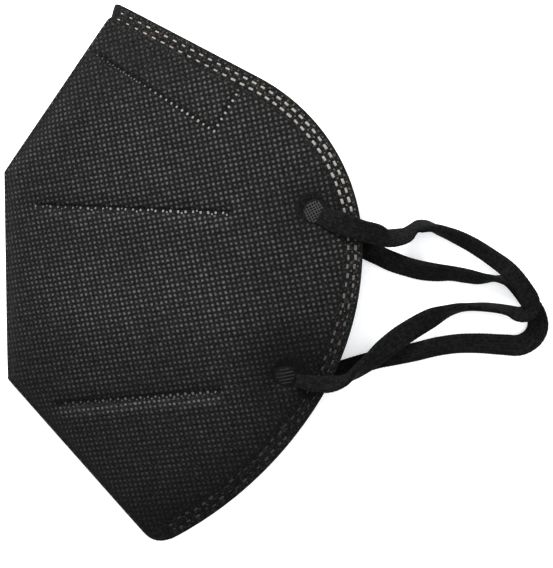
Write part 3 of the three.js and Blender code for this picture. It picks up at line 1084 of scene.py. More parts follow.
    def _hollow_points(self) -> tuple[Array, Array]:
        """The hollow's back line from nose to chin, and points across the hollow."""
        last, skip = len(self.back_places) - 1, self.lining_skip
        picked = np.arange(skip, last - skip + 1, skip)
        from_end = np.minimum(picked, last - picked)
        inset = np.minimum(self.lining_inset, 1.3 + 0.25 * from_end)
        line = (self.back_places[picked] + self.back_into[picked] * inset[:, None])[::-1]
        outline = np.vstack((self.rim_places, line))
        step, (wide, tall) = self.lining_step, self.cloth.form.half_box
        grid = grid_of(np.arange(-wide, wide, step), np.arange(-tall, tall, step))
        grid = grid[inside(grid, outline)]
        return line, grid[clear_of(grid, outline, 0.45 * step)]

    # -------------------------------------------------------------- the closed mesh

    def _add(self, points: Array) -> Array:
        """Adds points and gives their indices."""
        count = sum(len(rows) for rows in self.points)
        self.points.append(points)
        return np.arange(count, count + len(points))

    def _cover(self, faces: Array, kind: ShellFace) -> None:
        """Adds faces of one kind."""
        self.faces.append(faces)
        self.kinds.append(np.full(len(faces), kind.value))

    def _outer_face(self, panel: Panel, parts: int) -> tuple[Array, Array]:
        """Builds one outer face.

        Args:
            panel: Which panel.
            parts: Into how many steps a lattice cell is divided each way.

        Returns:
            Indices of its points along the rim, and along the back edge.
        """
        kind = ShellFace[panel.name]
        inner = self.face_points(panel, parts)
        points, cells, pressed = self.cloth.outer(panel, np.vstack((self.outline, inner)))
        index = self._add(points)
        self.cells.append((kind, index, cells))
        self.pressed.append((index, pressed))
        self._cover(index[fill(self.outline, inner)], kind)
        rim = len(self.rim_places)
        back = index[rim : len(self.outline)][::-1]
        return index[:rim], np.concatenate((index[:1], back, index[rim - 1 : rim]))

    def _roll(self, panel: Panel, back: Array, middle: Array | None) -> list[Array]:
        """Rolls one outer face over the back edge, down to the edge's middle.

        Args:
            panel: Which panel.
            back: Indices of the outer face's points along the back edge.
            middle: Indices of the edge's middle, once the other panel has made it.

        Returns:
            Rows of indices from the outer face to the middle.
        """
        kind = ShellFace[panel.name + "_ROLL"]
        top, bottom, _ = self.cloth.form.heights(self.back_places)
        edge = (top + bottom) / 2.0
        y = self.back_places[:, 1]
        on_fold = smooth(y, -36.0, -30.0) * fade(y, 31.0, 38.0)
        skin = np.vstack(self.points)[back]
        probe = self.roll_probe
        further, _, _ = self.cloth.outer(panel, self.back_inner + self.back_into * probe)
        slope = (further[:, 2] - skin[:, 2]) / probe
        slope = np.clip(slope, -self.steepest, self.steepest)
        lines, indices = [skin], [back]
        for step in range(1, self.roll_rows + 1):
            share = 1.0 - step / self.roll_rows
            rise = blend(edge, skin[:, 2], share * (2.0 - share))
            level = skin[:, 2] - slope * self.inset * (1.0 - share)
            height = blend(rise, level, 0.35 * share)
            reach = self.inset * (1.0 - math.sqrt(1.0 - share**2))
            crease = self.seam_crease * (1.0 - on_fold) * bell(share, 0.0, self.crease_reach)
            flat = self.back_places + self.back_into * (reach + crease)[:, None]
            lines.append(np.column_stack((flat, height)))
            is_shared = step == self.roll_rows and middle is not None
            indices.append(middle if is_shared else self._add(lines[-1]))
        for first, second in zip(indices[:-1], indices[1:], strict=True):
            self._cover(ladder(first, second), kind)
        steps = np.linalg.norm(np.diff(lines, axis=0), axis=-1)
        arc = np.concatenate((np.zeros((1, len(back))), np.cumsum(steps, axis=0)))
        into = self.back_into * np.array((panel.value, 1.0))
        sheet = self.cloth.sheet(panel, skin[:, :2])[None] - into[None] * arc[..., None]
        cells = self.cloth.lattice.to_cells(sheet.reshape(-1, 2))
        self.cells.append((kind, np.concatenate(indices), cells))
        return indices

    def _linings(self) -> tuple[Array, Array]:
        """Builds the two faces of the hollow, which meet along its back line.

        Returns:
            Indices of the upper one's points along the rim, and of the lower one's.
        """
        form, rim = self.cloth.form, len(self.rim_places)
        line, grid = self._hollow_points()
        flat = np.vstack((self.rim_places, line, grid))
        top, bottom, wall = form.heights(flat)
        distance, _ = form.from_rim(flat)
        press = form.band_press * fade(distance, form.band_width, form.band_width + 1.0)
        centre = (top + bottom) / 2.0
        shared = np.zeros(len(flat), bool)
        shared[[0, rim - 1]] = True
        shared[rim : rim + len(line)] = True
        pattern = fill(flat[: rim + len(line)], grid)
        inner_top = np.maximum(top - press - wall, centre + self.least_gap)
        inner_bottom = np.minimum(bottom + press + wall, centre - self.least_gap)
        upper = self._add(np.column_stack((flat, np.where(shared, centre, inner_top))))
        lower = upper.copy()
        lower[~shared] = self._add(np.column_stack((flat, inner_bottom))[~shared])
        for index, kind in ((upper, ShellFace.UPPER_LINING), (lower, ShellFace.LOWER_LINING)):
            self._cover(index[pattern], kind)
            self.cells.append((kind, index, flat / self.lining_step))
        return upper[:rim], lower[:rim]

    def _cut_edge(self, outer: Array, inner: Array, rolls: list[Array]) -> None:
        """Closes one panel's raw edge along the rim, with its plies, and both its ends.

        Args:
            outer: Indices along the outer face's rim.
            inner: Indices along the lining's rim.
            rolls: Rows of indices down the rolled back edge.
        """
        everything = np.vstack(self.points)
        start, end = everything[outer], everything[inner]
        count = len(self.rim_places)
        from_end = np.minimum(np.arange(count), np.arange(count)[::-1])
        strips, shares = [outer], [0.0]
        for share, depth in self.plies:
            row = blend(start, end, share)
            push = depth * smooth(from_end, 0.0, self.ply_ease)
            row[:, :2] += self.rim_into * push[:, None]
            strips.append(self._add(row))
            shares.append(share)
        strips.append(inner)
        shares.append(1.0)
        for first, second in zip(strips[:-1], strips[1:], strict=True):
            self._cover(ladder(first, second), ShellFace.CUT_EDGE)
        for corner, column in ((0, 0), (count - 1, len(self.back_places) - 1)):
            down = np.array([strip[corner] for strip in strips])
            roll = np.array([row[column] for row in rolls])
            self._cover(zip_rows(down, roll), ShellFace.CUT_EDGE)
        for strip, share in zip(strips, shares, strict=True):
            rows = np.column_stack((self.rim_along, np.full(count, share)))
            self.cells.append((ShellFace.CUT_EDGE, strip, rows))

    def build(self, finishes: dict[str, Material]) -> Piece:
        """Builds and dresses the shell.

        Args:
            finishes: The materials by name.

        Returns:
            The finished object.
        """
        upper_rim, upper_back = self._outer_face(Panel.UPPER, self.upper_parts)
        lower_rim, lower_back = self._outer_face(Panel.LOWER, self.lower_parts)
        upper = self._roll(Panel.UPPER, upper_back, None)
        lower = self._roll(Panel.LOWER, lower_back, upper[-1])
        upper_lining, lower_lining = self._linings()
        self._cut_edge(upper_rim, upper_lining, upper)
        self._cut_edge(lower_rim, lower_lining, lower)
        points, faces = np.vstack(self.points), np.vstack(self.faces)
        piece = new_object("mask_shell", points, faces.tolist())
        self._dress(piece.data, finishes)
        shade(piece, 48.0)
        return piece

    def _dress(self, mesh: bpy.types.Mesh, finishes: dict[str, Material]) -> None:
        """Writes the lattice coordinates, the pressed places, the rim's band, the painted light and
        shade, and the materials.

        Args:
            mesh: The shell's mesh.
            finishes: The materials by name.
        """
        count, corners = len(mesh.vertices), corner_points(mesh)
        kinds = np.concatenate(self.kinds)
        corner_kinds = np.repeat(kinds, 3)
        coordinates = np.zeros((len(corners), 2))
        for kind in ShellFace:
            table = np.zeros((count, 2))
            for made, index, cells in self.cells:
                if made is kind:
                    table[index] = cells
            chosen = corner_kinds == kind.value
            coordinates[chosen] = table[corners[chosen]]
        write_map(mesh, "lattice", coordinates)
        amounts = np.tile((0.0, 0.0, 1.0), (count, 1))
        for index, rows in self.pressed:
            amounts[index] = rows
        # The tone column is painted light and shade for the cloth's colour.
        for column, name in enumerate(("pressed", "rim_band", "tone")):
            attribute = mesh.attributes.new(name, "FLOAT", "POINT")
            attribute.data.foreach_set("value", amounts[:, column].copy())
        for name in ("cloth", "lining", "cut_edge"):
            mesh.materials.append(finishes[name])
        slots = np.array((0, 0, 0, 0, 1, 1, 2))
        mesh.polygons.foreach_set("material_index", slots[kinds].tolist())
        mesh.update()


# ------------------------------------------------------------------ node trees


class Graph:
    """A node tree with short ways to add and join nodes."""

    def __init__(self, tree: bpy.types.NodeTree) -> None:
        """Keeps the tree."""
        self.tree = tree

    def add(self, kind: str, inputs: dict | None = None, **settings: object) -> bpy.types.Node:
        """Adds a node.

        Args:
            kind: The node's type name.
            inputs: Values or sockets for its inputs, by name or number.
            settings: The node's own properties.

        Returns:
            The node.
        """
        node = self.tree.nodes.new(kind)
        for name, value in settings.items():
            setattr(node, name, value)
        for name, value in (inputs or {}).items():
            self.feed(node.inputs[name], value)
        return node

    def get(self, kind: str, inputs: dict | None = None, **settings: object) -> Socket:
        """Adds a node as add() does, and gives its first output."""
        return self.add(kind, inputs, **settings).outputs[0]

    def feed(self, socket: Socket, value: object) -> None:
        """Joins a socket to an input, or sets the input's value."""
        if isinstance(value, bpy.types.NodeSocket):
            self.tree.links.new(value, socket)
        else:
            socket.default_value = value

    def math(self, operation: str, first: object, second: object = 0.0) -> Socket:
        """A number worked out from one or two others."""
        return self.get("ShaderNodeMath", {0: first, 1: second}, operation=operation)

    def times(self, first: object, *others: object) -> Socket:
        """The product of some numbers."""
        for other in others:
            first = self.math("MULTIPLY", first, other)
        return first

    def vector(self, operation: str, first: object, second: object = (0.0, 0.0, 0.0)) -> Socket:
        """A vector worked out from one or two others."""
        return self.get("ShaderNodeVectorMath", {0: first, 1: second}, operation=operation)

    def scaled(self, vector: object, scale: object) -> Socket:
        """A vector or colour times a number."""
        inputs = {0: vector, "Scale": scale}
        return self.get("ShaderNodeVectorMath", inputs, operation="SCALE")

    def ease(
        self, value: Socket, low: object, high: object, start: float = 0.0, end: float = 1.0
    ) -> Socket:
        """Maps a number smoothly from one range to another."""
        inputs = {0: value, 1: low, 2: high, 3: start, 4: end}
        return self.get("ShaderNodeMapRange", inputs, interpolation_type="SMOOTHSTEP")

    def mix(self, share: object, first: object, second: object) -> Socket:
        """Mixes two colours."""
        inputs = {0: share, 6: first, 7: second}
        return self.add("ShaderNodeMix", inputs, data_type="RGBA").outputs[2]

    def noise(self, position: object, scale: object, detail: float) -> Socket:
        """A soft random value from 0 to 1 over a surface."""
        inputs = {"Vector": position, "Scale": scale, "Detail": detail}
        return self.get("ShaderNodeTexNoise", inputs)


def new_group(
    name: str, kind: str, inputs: dict[str, tuple[str, object]], outputs: dict[str, str]
) -> tuple[Graph, bpy.types.Node, bpy.types.Node]:
    """Starts a node group with named inputs and outputs.

    Args:
        name: The group's name.
        kind: The tree's type name.
        inputs: Each input's socket type and value.
        outputs: Each output's socket type.

    Returns:
        The graph, and its input and output nodes.
    """
    tree = bpy.data.node_groups.new(name, kind)
    for label, (socket, value) in inputs.items():
        made = tree.interface.new_socket(label, in_out="INPUT", socket_type=socket)
        if value is not None:
            made.default_value = value
    for label, socket in outputs.items():
        tree.interface.new_socket(label, in_out="OUTPUT", socket_type=socket)
    graph = Graph(tree)
    return graph, graph.add("NodeGroupInput"), graph.add("NodeGroupOutput")


class Effects:
    """The shader node groups that the materials share."""

    def __init__(self) -> None:
        """Builds every group once."""
        self.dots = self._bonded_dots()
        self.fibres = self._felted_fibres()
        self.patches = self._patchy_tone()

    @staticmethod
    def _bonded_dots() -> bpy.types.NodeTree:
        """Small round dots, one in each cell of a lattice, each with its own chance."""
        inputs = {"Cell": (VECTOR, None), "Radius": (FLOAT, 0.22), "Softness": (FLOAT, 0.08)}
        outputs = {"Dot": FLOAT, "Chance": FLOAT}
        graph, start, end = new_group("bonded_dots", "ShaderNodeTree", inputs, outputs)
        cell, radius, softness = (start.outputs[label] for label in inputs)
        middle = graph.vector("FLOOR", graph.vector("ADD", cell, (0.5, 0.5, 0.5)))
        away = graph.vector("SUBTRACT", cell, middle)
        away = graph.add("ShaderNodeVectorMath", {0: away}, operation="LENGTH").outputs[1]
        outer, inner = (graph.math(way, radius, softness) for way in ("ADD", "SUBTRACT"))
        graph.feed(end.inputs["Dot"], graph.ease(away, inner, outer, 1.0, 0.0))
        chance = graph.add("ShaderNodeTexWhiteNoise", {"Vector": middle})
        graph.feed(end.inputs["Chance"], chance.outputs["Value"])
        return graph.tree

    @staticmethod
    def _felted_fibres() -> bpy.types.NodeTree:
        """Fine crossing fibres, as a tone from 0 to 1 and a height."""
        inputs = {"Position": (VECTOR, None), "Fineness": (FLOAT, 1.0)}
        outputs = {"Tone": FLOAT, "Height": FLOAT}
        graph, start, end = new_group("felted_fibres", "ShaderNodeTree", inputs, outputs)
        total = 0.0
        for angle in (0.35, 1.45, 2.5):
            way = {"Vector": start.outputs[0], "Angle": angle}
            turned = graph.get("ShaderNodeVectorRotate", way, rotation_type="Z_AXIS")
            stretched = graph.vector("MULTIPLY", turned, (650.0, 5200.0, 2600.0))
            total = graph.math("MAXIMUM", graph.noise(stretched, start.outputs[1], 2.0), total)
        graph.feed(end.inputs["Tone"], graph.ease(total, 0.48, 0.82))
        graph.feed(end.inputs["Height"], total)
        return graph.tree

    @staticmethod
    def _patchy_tone() -> bpy.types.NodeTree:
        """A broad uneven tone around 1."""
        inputs = {"Position": (VECTOR, None), "Scale": (FLOAT, 60.0), "Amount": (FLOAT, 0.2)}
        graph, start, end = new_group("patchy_tone", "ShaderNodeTree", inputs, {"Tone": FLOAT})
        position, scale, amount = (start.outputs[label] for label in inputs)
        centred = graph.math("SUBTRACT", graph.noise(position, scale, 3.0), 0.5)
        swing = graph.times(centred, graph.times(amount, 3.0))
        graph.feed(end.inputs["Tone"], graph.math("ADD", swing, 1.0))
        return graph.tree


def grey(value: float, warmth: float = 0.0) -> tuple[float, float, float, float]:
    """A grey, warmed a little towards cream or cooled towards blue."""
    return (value * (1.0 + warmth), value, value * (1.0 - warmth), 1.0)


class Surface(Graph):
    """A material being built: its graph, its shader and its coordinates."""

    def __init__(self, name: str, effects: Effects, **shader: object) -> None:
        """Starts a material.

        Args:
            name: The material's name.
            effects: The shared node groups.
            shader: Uniform values for the shader's own inputs, words joined by _.
        """
        self.effects = effects
        self.material = bpy.data.materials.new(name)
        self.material.use_nodes = True
        super().__init__(self.material.node_tree)
        self.tree.nodes.clear()
        self.shader = self.add("ShaderNodeBsdfPrincipled")
        for label, value in shader.items():
            self.shader.inputs[label.replace("_", " ")].default_value = value
        self.add("ShaderNodeOutputMaterial", {0: self.shader.outputs[0]})
        self.position = self.add("ShaderNodeTexCoord").outputs["Object"]

    def effect(self, group: bpy.types.NodeTree, **inputs: object) -> bpy.types.NodeOutputs:
        """Places a node group with some inputs, and gives its outputs."""
        return self.add("ShaderNodeGroup", inputs, node_tree=group).outputs

    def fibres(self, fineness: float = 1.0) -> tuple[Socket, Socket]:
        """The tone and the height of the felted fibres."""
        made = self.effect(self.effects.fibres, Position=self.position, Fineness=fineness)
        return made["Tone"], made["Height"]

    def patches(self, scale: float, amount: float) -> Socket:
        """The patchy tone around 1."""
        group = self.effects.patches
        return self.effect(group, Position=self.position, Scale=scale, Amount=amount)[0]

    def place(self, axis: int) -> Socket:
        """The place along X (axis 0) or Y (axis 1), in metres."""
        return self.get_part(self.position, axis)

    def get_part(self, vector: Socket, axis: int) -> Socket:
        """One of the three parts of a vector."""
        return self.add("ShaderNodeSeparateXYZ", {0: vector}).outputs[axis]

    def map(self, name: str) -> Socket:
        """The piece's own coordinates of that name."""
        return self.get("ShaderNodeUVMap", uv_map=name)

    def amount(self, name: str) -> Socket:
        """A number stored on the piece."""
        node = self.add("ShaderNodeAttribute", attribute_name=name, attribute_type="GEOMETRY")
        return node.outputs["Fac"]

    def finish(
        self, colour: Socket, roughness: Socket, height: Socket, depth: float, strength: float
    ) -> Material:
        """Joins what the material shows to its shader.

        Args:
            colour: Its colour.
            roughness: Its roughness.
            height: Its relief.
            depth: The relief's real depth in metres.
            strength: How strongly the relief shows.

        Returns:
            The material.
        """
        inputs = {"Height": height, "Distance": depth, "Strength": strength}
        normal = self.get("ShaderNodeBump", inputs)
        for label, value in zip(("Base Color", "Roughness", "Normal"), (colour, roughness, normal)):
            self.feed(self.shader.inputs[label], value)
        return self.material


@dataclass(frozen=True)
class ClothFinish:
    """The outer cloth: dark felted fibres with lighter, smoother bonded dots, under painted light and
    shade.
    """

    dark: float = 0.0034
    light: float = 0.06
    warm: tuple[float, ...] = (0.03, 0.0225, 0.0175, 1.0)
    cool: tuple[float, ...] = (0.018, 0.023, 0.02, 1.0)
    speck: float = 0.019
    band_shade: float = 0.36
    dot_radius: float = 0.22
    dot_softness: float = 0.16
    dot_wander: float = 0.45

    def _shown(self, surface: Surface) -> Socket:
        """How much each place shows as a bonded dot, from 0 to about 1, with painted light and shade
        on the dots.
        """
        wobble = surface.add("ShaderNodeTexNoise", {"Vector": surface.position, "Scale": 900.0})
        shift = surface.vector("SUBTRACT", wobble.outputs["Color"], (0.5, 0.5, 0.5))
        shift = surface.vector("MULTIPLY", shift, (self.dot_wander, self.dot_wander, 0.0))
        cell = surface.vector("ADD", surface.map("lattice"), shift)
        radius, softness = self.dot_radius, self.dot_softness
        dots = surface.effect(surface.effects.dots, Cell=cell, Radius=radius, Softness=softness)
        return surface.times(
            dots["Dot"],
            surface.ease(dots["Chance"], 0.0, 1.0, 0.55, 1.12),
            surface.ease(surface.amount("pressed"), 0.0, 1.0, 1.0, 0.1),
            surface.patches(55.0, 0.16),
            # Painted light and shade: the tone attribute, and a painted highlight on the dots that
            # dims towards the fold and towards the chin.
            surface.amount("tone"),
            surface.ease(surface.place(0), -0.054, -0.012, 0.84, 1.08),
            surface.ease(surface.place(1), -0.085, 0.015, 0.42, 1.0),
        )

    def _specks(self, surface: Surface, base: Socket) -> Socket:
        """Lays the melted specks of the rim's band over the base colour."""
        share = surface.ease(surface.noise(surface.position, 420.0, 1.0), 0.4, 0.6)
        tint = surface.mix(share, self.cool, self.warm)
        faded = surface.ease(surface.place(1), -0.045, 0.005, 1.0, 0.0)
        tint = surface.mix(faded, tint, grey(self.speck))
        band = surface.amount("rim_band")
        shade = surface.times(band, self.band_shade)
        base = surface.mix(shade, base, grey(self.dark * 0.5))
        melted = surface.ease(surface.patches(1500.0, 1.4), 1.0, 1.8)
        return surface.mix(surface.times(melted, band), base, tint)

    def make(self, effects: Effects) -> Material:
        """Builds the material."""
        sheen = {"Sheen_Weight": 0.01, "Sheen_Roughness": 0.5}
        surface = Surface("bonded_cloth", effects, Specular_IOR_Level=0.05, **sheen)
        tone, height = surface.fibres()
        fuzz = surface.ease(surface.patches(2300.0, 1.0), 0.7, 1.7, 0.0, 0.5)
        share = surface.math("ADD", surface.times(tone, 0.6), fuzz)
        base = surface.mix(share, grey(self.dark * 0.36), grey(self.dark * 4.6, 0.02))
        shown = self._shown(surface)
        colour = surface.mix(shown, self._specks(surface, base), grey(self.light, 0.01))
        # Painted light and shade: the tone attribute scales the whole colour.
        colour = surface.scaled(colour, surface.amount("tone"))
        roughness = surface.ease(shown, 0.0, 1.0, 0.88, 0.5)
        return surface.finish(colour, roughness, height, 0.00018, 0.8)


@dataclass(frozen=True)
class LiningFinish:
    """The plain soft cloth inside the hollow."""

    tone: float = 0.009

    def make(self, effects: Effects) -> Material:
        """Builds the material."""
        sheen = {"Sheen_Weight": 0.02, "Sheen_Roughness": 0.5}
        surface = Surface("soft_lining", effects, Specular_IOR_Level=0.05, **sheen)
        tone, height = surface.fibres(0.8)
        base = surface.mix(tone, grey(self.tone * 0.7), grey(self.tone * 1.5))
        uneven = surface.ease(surface.patches(70.0, 0.2), 0.6, 1.4, 0.0, 0.4)
        colour = surface.mix(uneven, base, grey(self.tone * 1.4))
        roughness = surface.ease(tone, 0.0, 1.0, 0.95, 0.8)
        return surface.finish(colour, roughness, height, 0.00012, 0.6)


@dataclass(frozen=True)
class CutEdgeFinish:
    """The raw edge of the rim, where the plies show as fine lines."""

    dark: float = 0.005
    light: float = 0.03
    plies: float = 3.0

    def make(self, effects: Effects) -> Material:
        """Builds the material."""
        surface = Surface("cut_edge", effects, Specular_IOR_Level=0.05)
        tone, height = surface.fibres(1.3)
        turns = surface.times(surface.get_part(surface.map("lattice"), 1), self.plies)
        line = surface.ease(surface.math("PINGPONG", turns, 0.5), 0.28, 0.48)
        line = surface.times(line, surface.ease(tone, 0.0, 1.0, 0.4, 1.0))
        colour = surface.mix(line, grey(self.dark), grey(self.light, -0.05))
        roughness = surface.ease(line, 0.0, 1.0, 0.9, 0.7)
        return surface.finish(colour, roughness, height, 0.0001, 0.6)


@dataclass(frozen=True)
class WeldFinish:
    """Melted cloth under a weld, with a painted highlight: bright where the light catches it, dull
    elsewhere.

    The painted highlight goes from dull to bright between two places along an axis, in millimetres,
    and the mark may be darker on the chin's side of the upper weld pad, a painted shadow of the ear
    loop.
    """

    name: str
    bright: tuple[float, float, float]
    dull: tuple[float, float, float]
    dull_below: float
    bright_above: float
    gloss: float
    axis: int = 1
    mottle: float = 0.9
    below_loop: float = 1.0
    loop_ends: tuple[float, float] = (11.0, 21.0)

    def make(self, effects: Effects) -> Material:
        """Builds the material."""
        surface = Surface(self.name, effects, Specular_IOR_Level=0.15)
        tone, height = surface.fibres()
        place, (low, high) = surface.place(self.axis), self.loop_ends
        # A painted highlight from dull to bright along the axis, times a painted shadow of the ear
        # loop on the chin's side of the upper pad.
        share = surface.times(
            surface.ease(place, self.dull_below * MM, self.bright_above * MM),
            surface.ease(place, low * MM, high * MM, self.below_loop),
            surface.patches(1900.0, self.mottle),
        )
        base = surface.mix(share, (*self.dull, 1.0), (*self.bright, 1.0))
        colour = surface.mix(surface.times(tone, 0.3), base, (*self.dull, 1.0))
        roughness = surface.ease(tone, 0.0, 1.0, self.gloss, self.gloss + 0.25)
        return surface.finish(colour, roughness, height, 0.00005, 0.4)


@dataclass(frozen=True)
class ElasticFinish:
    """Soft knitted elastic: fine lengthways ribs crossed by small loops."""

    dark: float = 0.0014
    light: float = 0.0094
    rib: float = 0.97
    loop: float = 0.85
    slant: float = 1.1

    def make(self, effects: Effects) -> Material:
        """Builds the material."""
        sheen = {"Sheen_Weight": 0.012, "Sheen_Roughness": 0.4}
        surface = Surface("knitted_elastic", effects, Specular_IOR_Level=0.03, **sheen)
        tone, relief = surface.fibres(1.2)
        across, along = (
            surface.math("DIVIDE", surface.get_part(surface.map("knit"), axis), size)
            for axis, size in enumerate((self.rib, self.loop))
        )
        fold = surface.math("PINGPONG", across, 0.5)
        slant = surface.math("ADD", along, surface.times(fold, self.slant))
        loops = surface.ease(surface.math("PINGPONG", slant, 0.5), 0.05, 0.4, 0.45)
        height = surface.times(surface.ease(fold, 0.02, 0.3), loops)
        mottle = surface.ease(surface.patches(1000.0, 1.0), 0.5, 1.7, 0.0, 0.55)
        fuzz = surface.math("ADD", surface.times(tone, 0.45), mottle)
        share = surface.math("ADD", surface.times(height, 0.16), fuzz)
        share = surface.times(share, surface.patches(140.0, 0.3))
        colour = surface.mix(share, grey(self.dark), grey(self.light))
        roughness = surface.ease(height, 0.0, 1.0, 0.95, 0.8)
        height = surface.math("ADD", height, surface.times(relief, 0.9))
        return surface.finish(colour, roughness, height, 0.0001, 0.5)


@dataclass(frozen=True)
class PadFinish:
    """Elastic and cloth melted together under the weld."""

    dark: float = 0.0018
    light: float = 0.0075

    def make(self, effects: Effects) -> Material:
        """Builds the material."""
        surface = Surface("pressed_pad", effects, Specular_IOR_Level=0.05)
        tone, height = surface.fibres()
        share = surface.times(tone, surface.patches(300.0, 0.4))
        colour = surface.mix(share, grey(self.dark), grey(self.light))
        roughness = surface.ease(share, 0.0, 1.0, 0.75, 0.5)
        return surface.finish(colour, roughness, height, 0.00008, 0.5)


def make_finishes(effects: Effects) -> dict[str, Material]:
    """Builds every material of the mask, by name."""
    # Each pair is a lit and a shaded colour of one melted mark: the weld finishes mix them by place
    # as a painted highlight.
    cream, dash_shade = (0.192, 0.185, 0.172), (0.012, 0.0122, 0.012)
    ivory, stone = (0.17, 0.162, 0.145), (0.04, 0.041, 0.04)
    sand, dot_shade = (0.06, 0.054, 0.042), (0.01, 0.01, 0.0095)
    ash, black = (0.042, 0.042, 0.042), (0.004, 0.004, 0.004)
    clay, flint = (0.085, 0.082, 0.075), (0.068, 0.066, 0.061)
    slate = (0.023, 0.023, 0.022)
    recipes = {
        "dash": WeldFinish("melted_dash", cream, dash_shade, -34.0, 6.0, 0.35, below_loop=0.36),
        "small_dot": WeldFinish("melted_dot", sand, dot_shade, -34.0, 10.0, 0.4),
        "upper_rib": WeldFinish("upper_rib_spot", ivory, clay, -46.0, -4.0, 0.35, 0),
        "lower_rib": WeldFinish("lower_rib_spot", flint, stone, -36.0, 0.0, 0.35, 0),
        "pocket": WeldFinish("pocket_dot", ivory, slate, -27.0, 8.0, 0.35, 0),
        "ridge": WeldFinish("pad_ridge", ash, black, -64.0, 6.0, 0.45),
        "cloth": ClothFinish(),
        "lining": LiningFinish(),
        "cut_edge": CutEdgeFinish(),
        "pad": PadFinish(),
        "elastic": ElasticFinish(),
    }
    return {name: recipe.make(effects) for name, recipe in recipes.items()}


# ------------------------------------------------------------------ stamped marks

CARRIED = ("lie", "heading", "size")


@dataclass(frozen=True)
class Marks:
    """Stamped marks: their places, the way each looks and points, and its three scales."""

    places: Array
    lie: Array
    heading: Array
    size: Array

    @classmethod
    def on(
        cls, cloth: Cloth, panel: Panel, flat: Array, headings: Array, scales: tuple[Array, ...]
    ) -> Marks:
        """Puts marks on the outer face of a panel, sunk a little into it.

        Args:
            cloth: The shell's surface.
            panel: Which panel.
            flat: Flat places, one a row.
            headings: Each mark's flat direction.
            scales: Each mark's scale along it and across it.

        Returns:
            The marks.
        """
        points, _, _ = cloth.outer(panel, flat)
        normals, count = cloth.normals(panel, flat), len(flat)
        ahead = np.column_stack((headings, np.zeros(count)))
        sizes = np.column_stack((*scales, np.ones(count)))
        return cls(points - 0.03 * normals, normals, ahead, sizes)

    @staticmethod
    def together(parts: list[Marks]) -> Marks:
        """Joins several sets of marks."""
        names = ("places", *CARRIED)
        return Marks(*(np.vstack([getattr(part, name) for part in parts]) for name in names))


@dataclass(frozen=True)
class Stamp:
    """The form of one stamped mark, in millimetres, and how much the marks differ."""

    length: float
    width: float
    corner: float
    thickness: float
    crown: float = 0.78
    size_change: float = 0.1
    turn_change: float = 0.06
    seed: int = 1

    def inputs(self) -> dict[str, float]:
        """The inputs of the node tree that makes it, with its sizes in metres."""
        sizes = ("length", "width", "corner", "thickness")
        return {
            name.replace("_", " ").title(): value * MM if name in sizes else value
            for name, value in vars(self).items()
        }


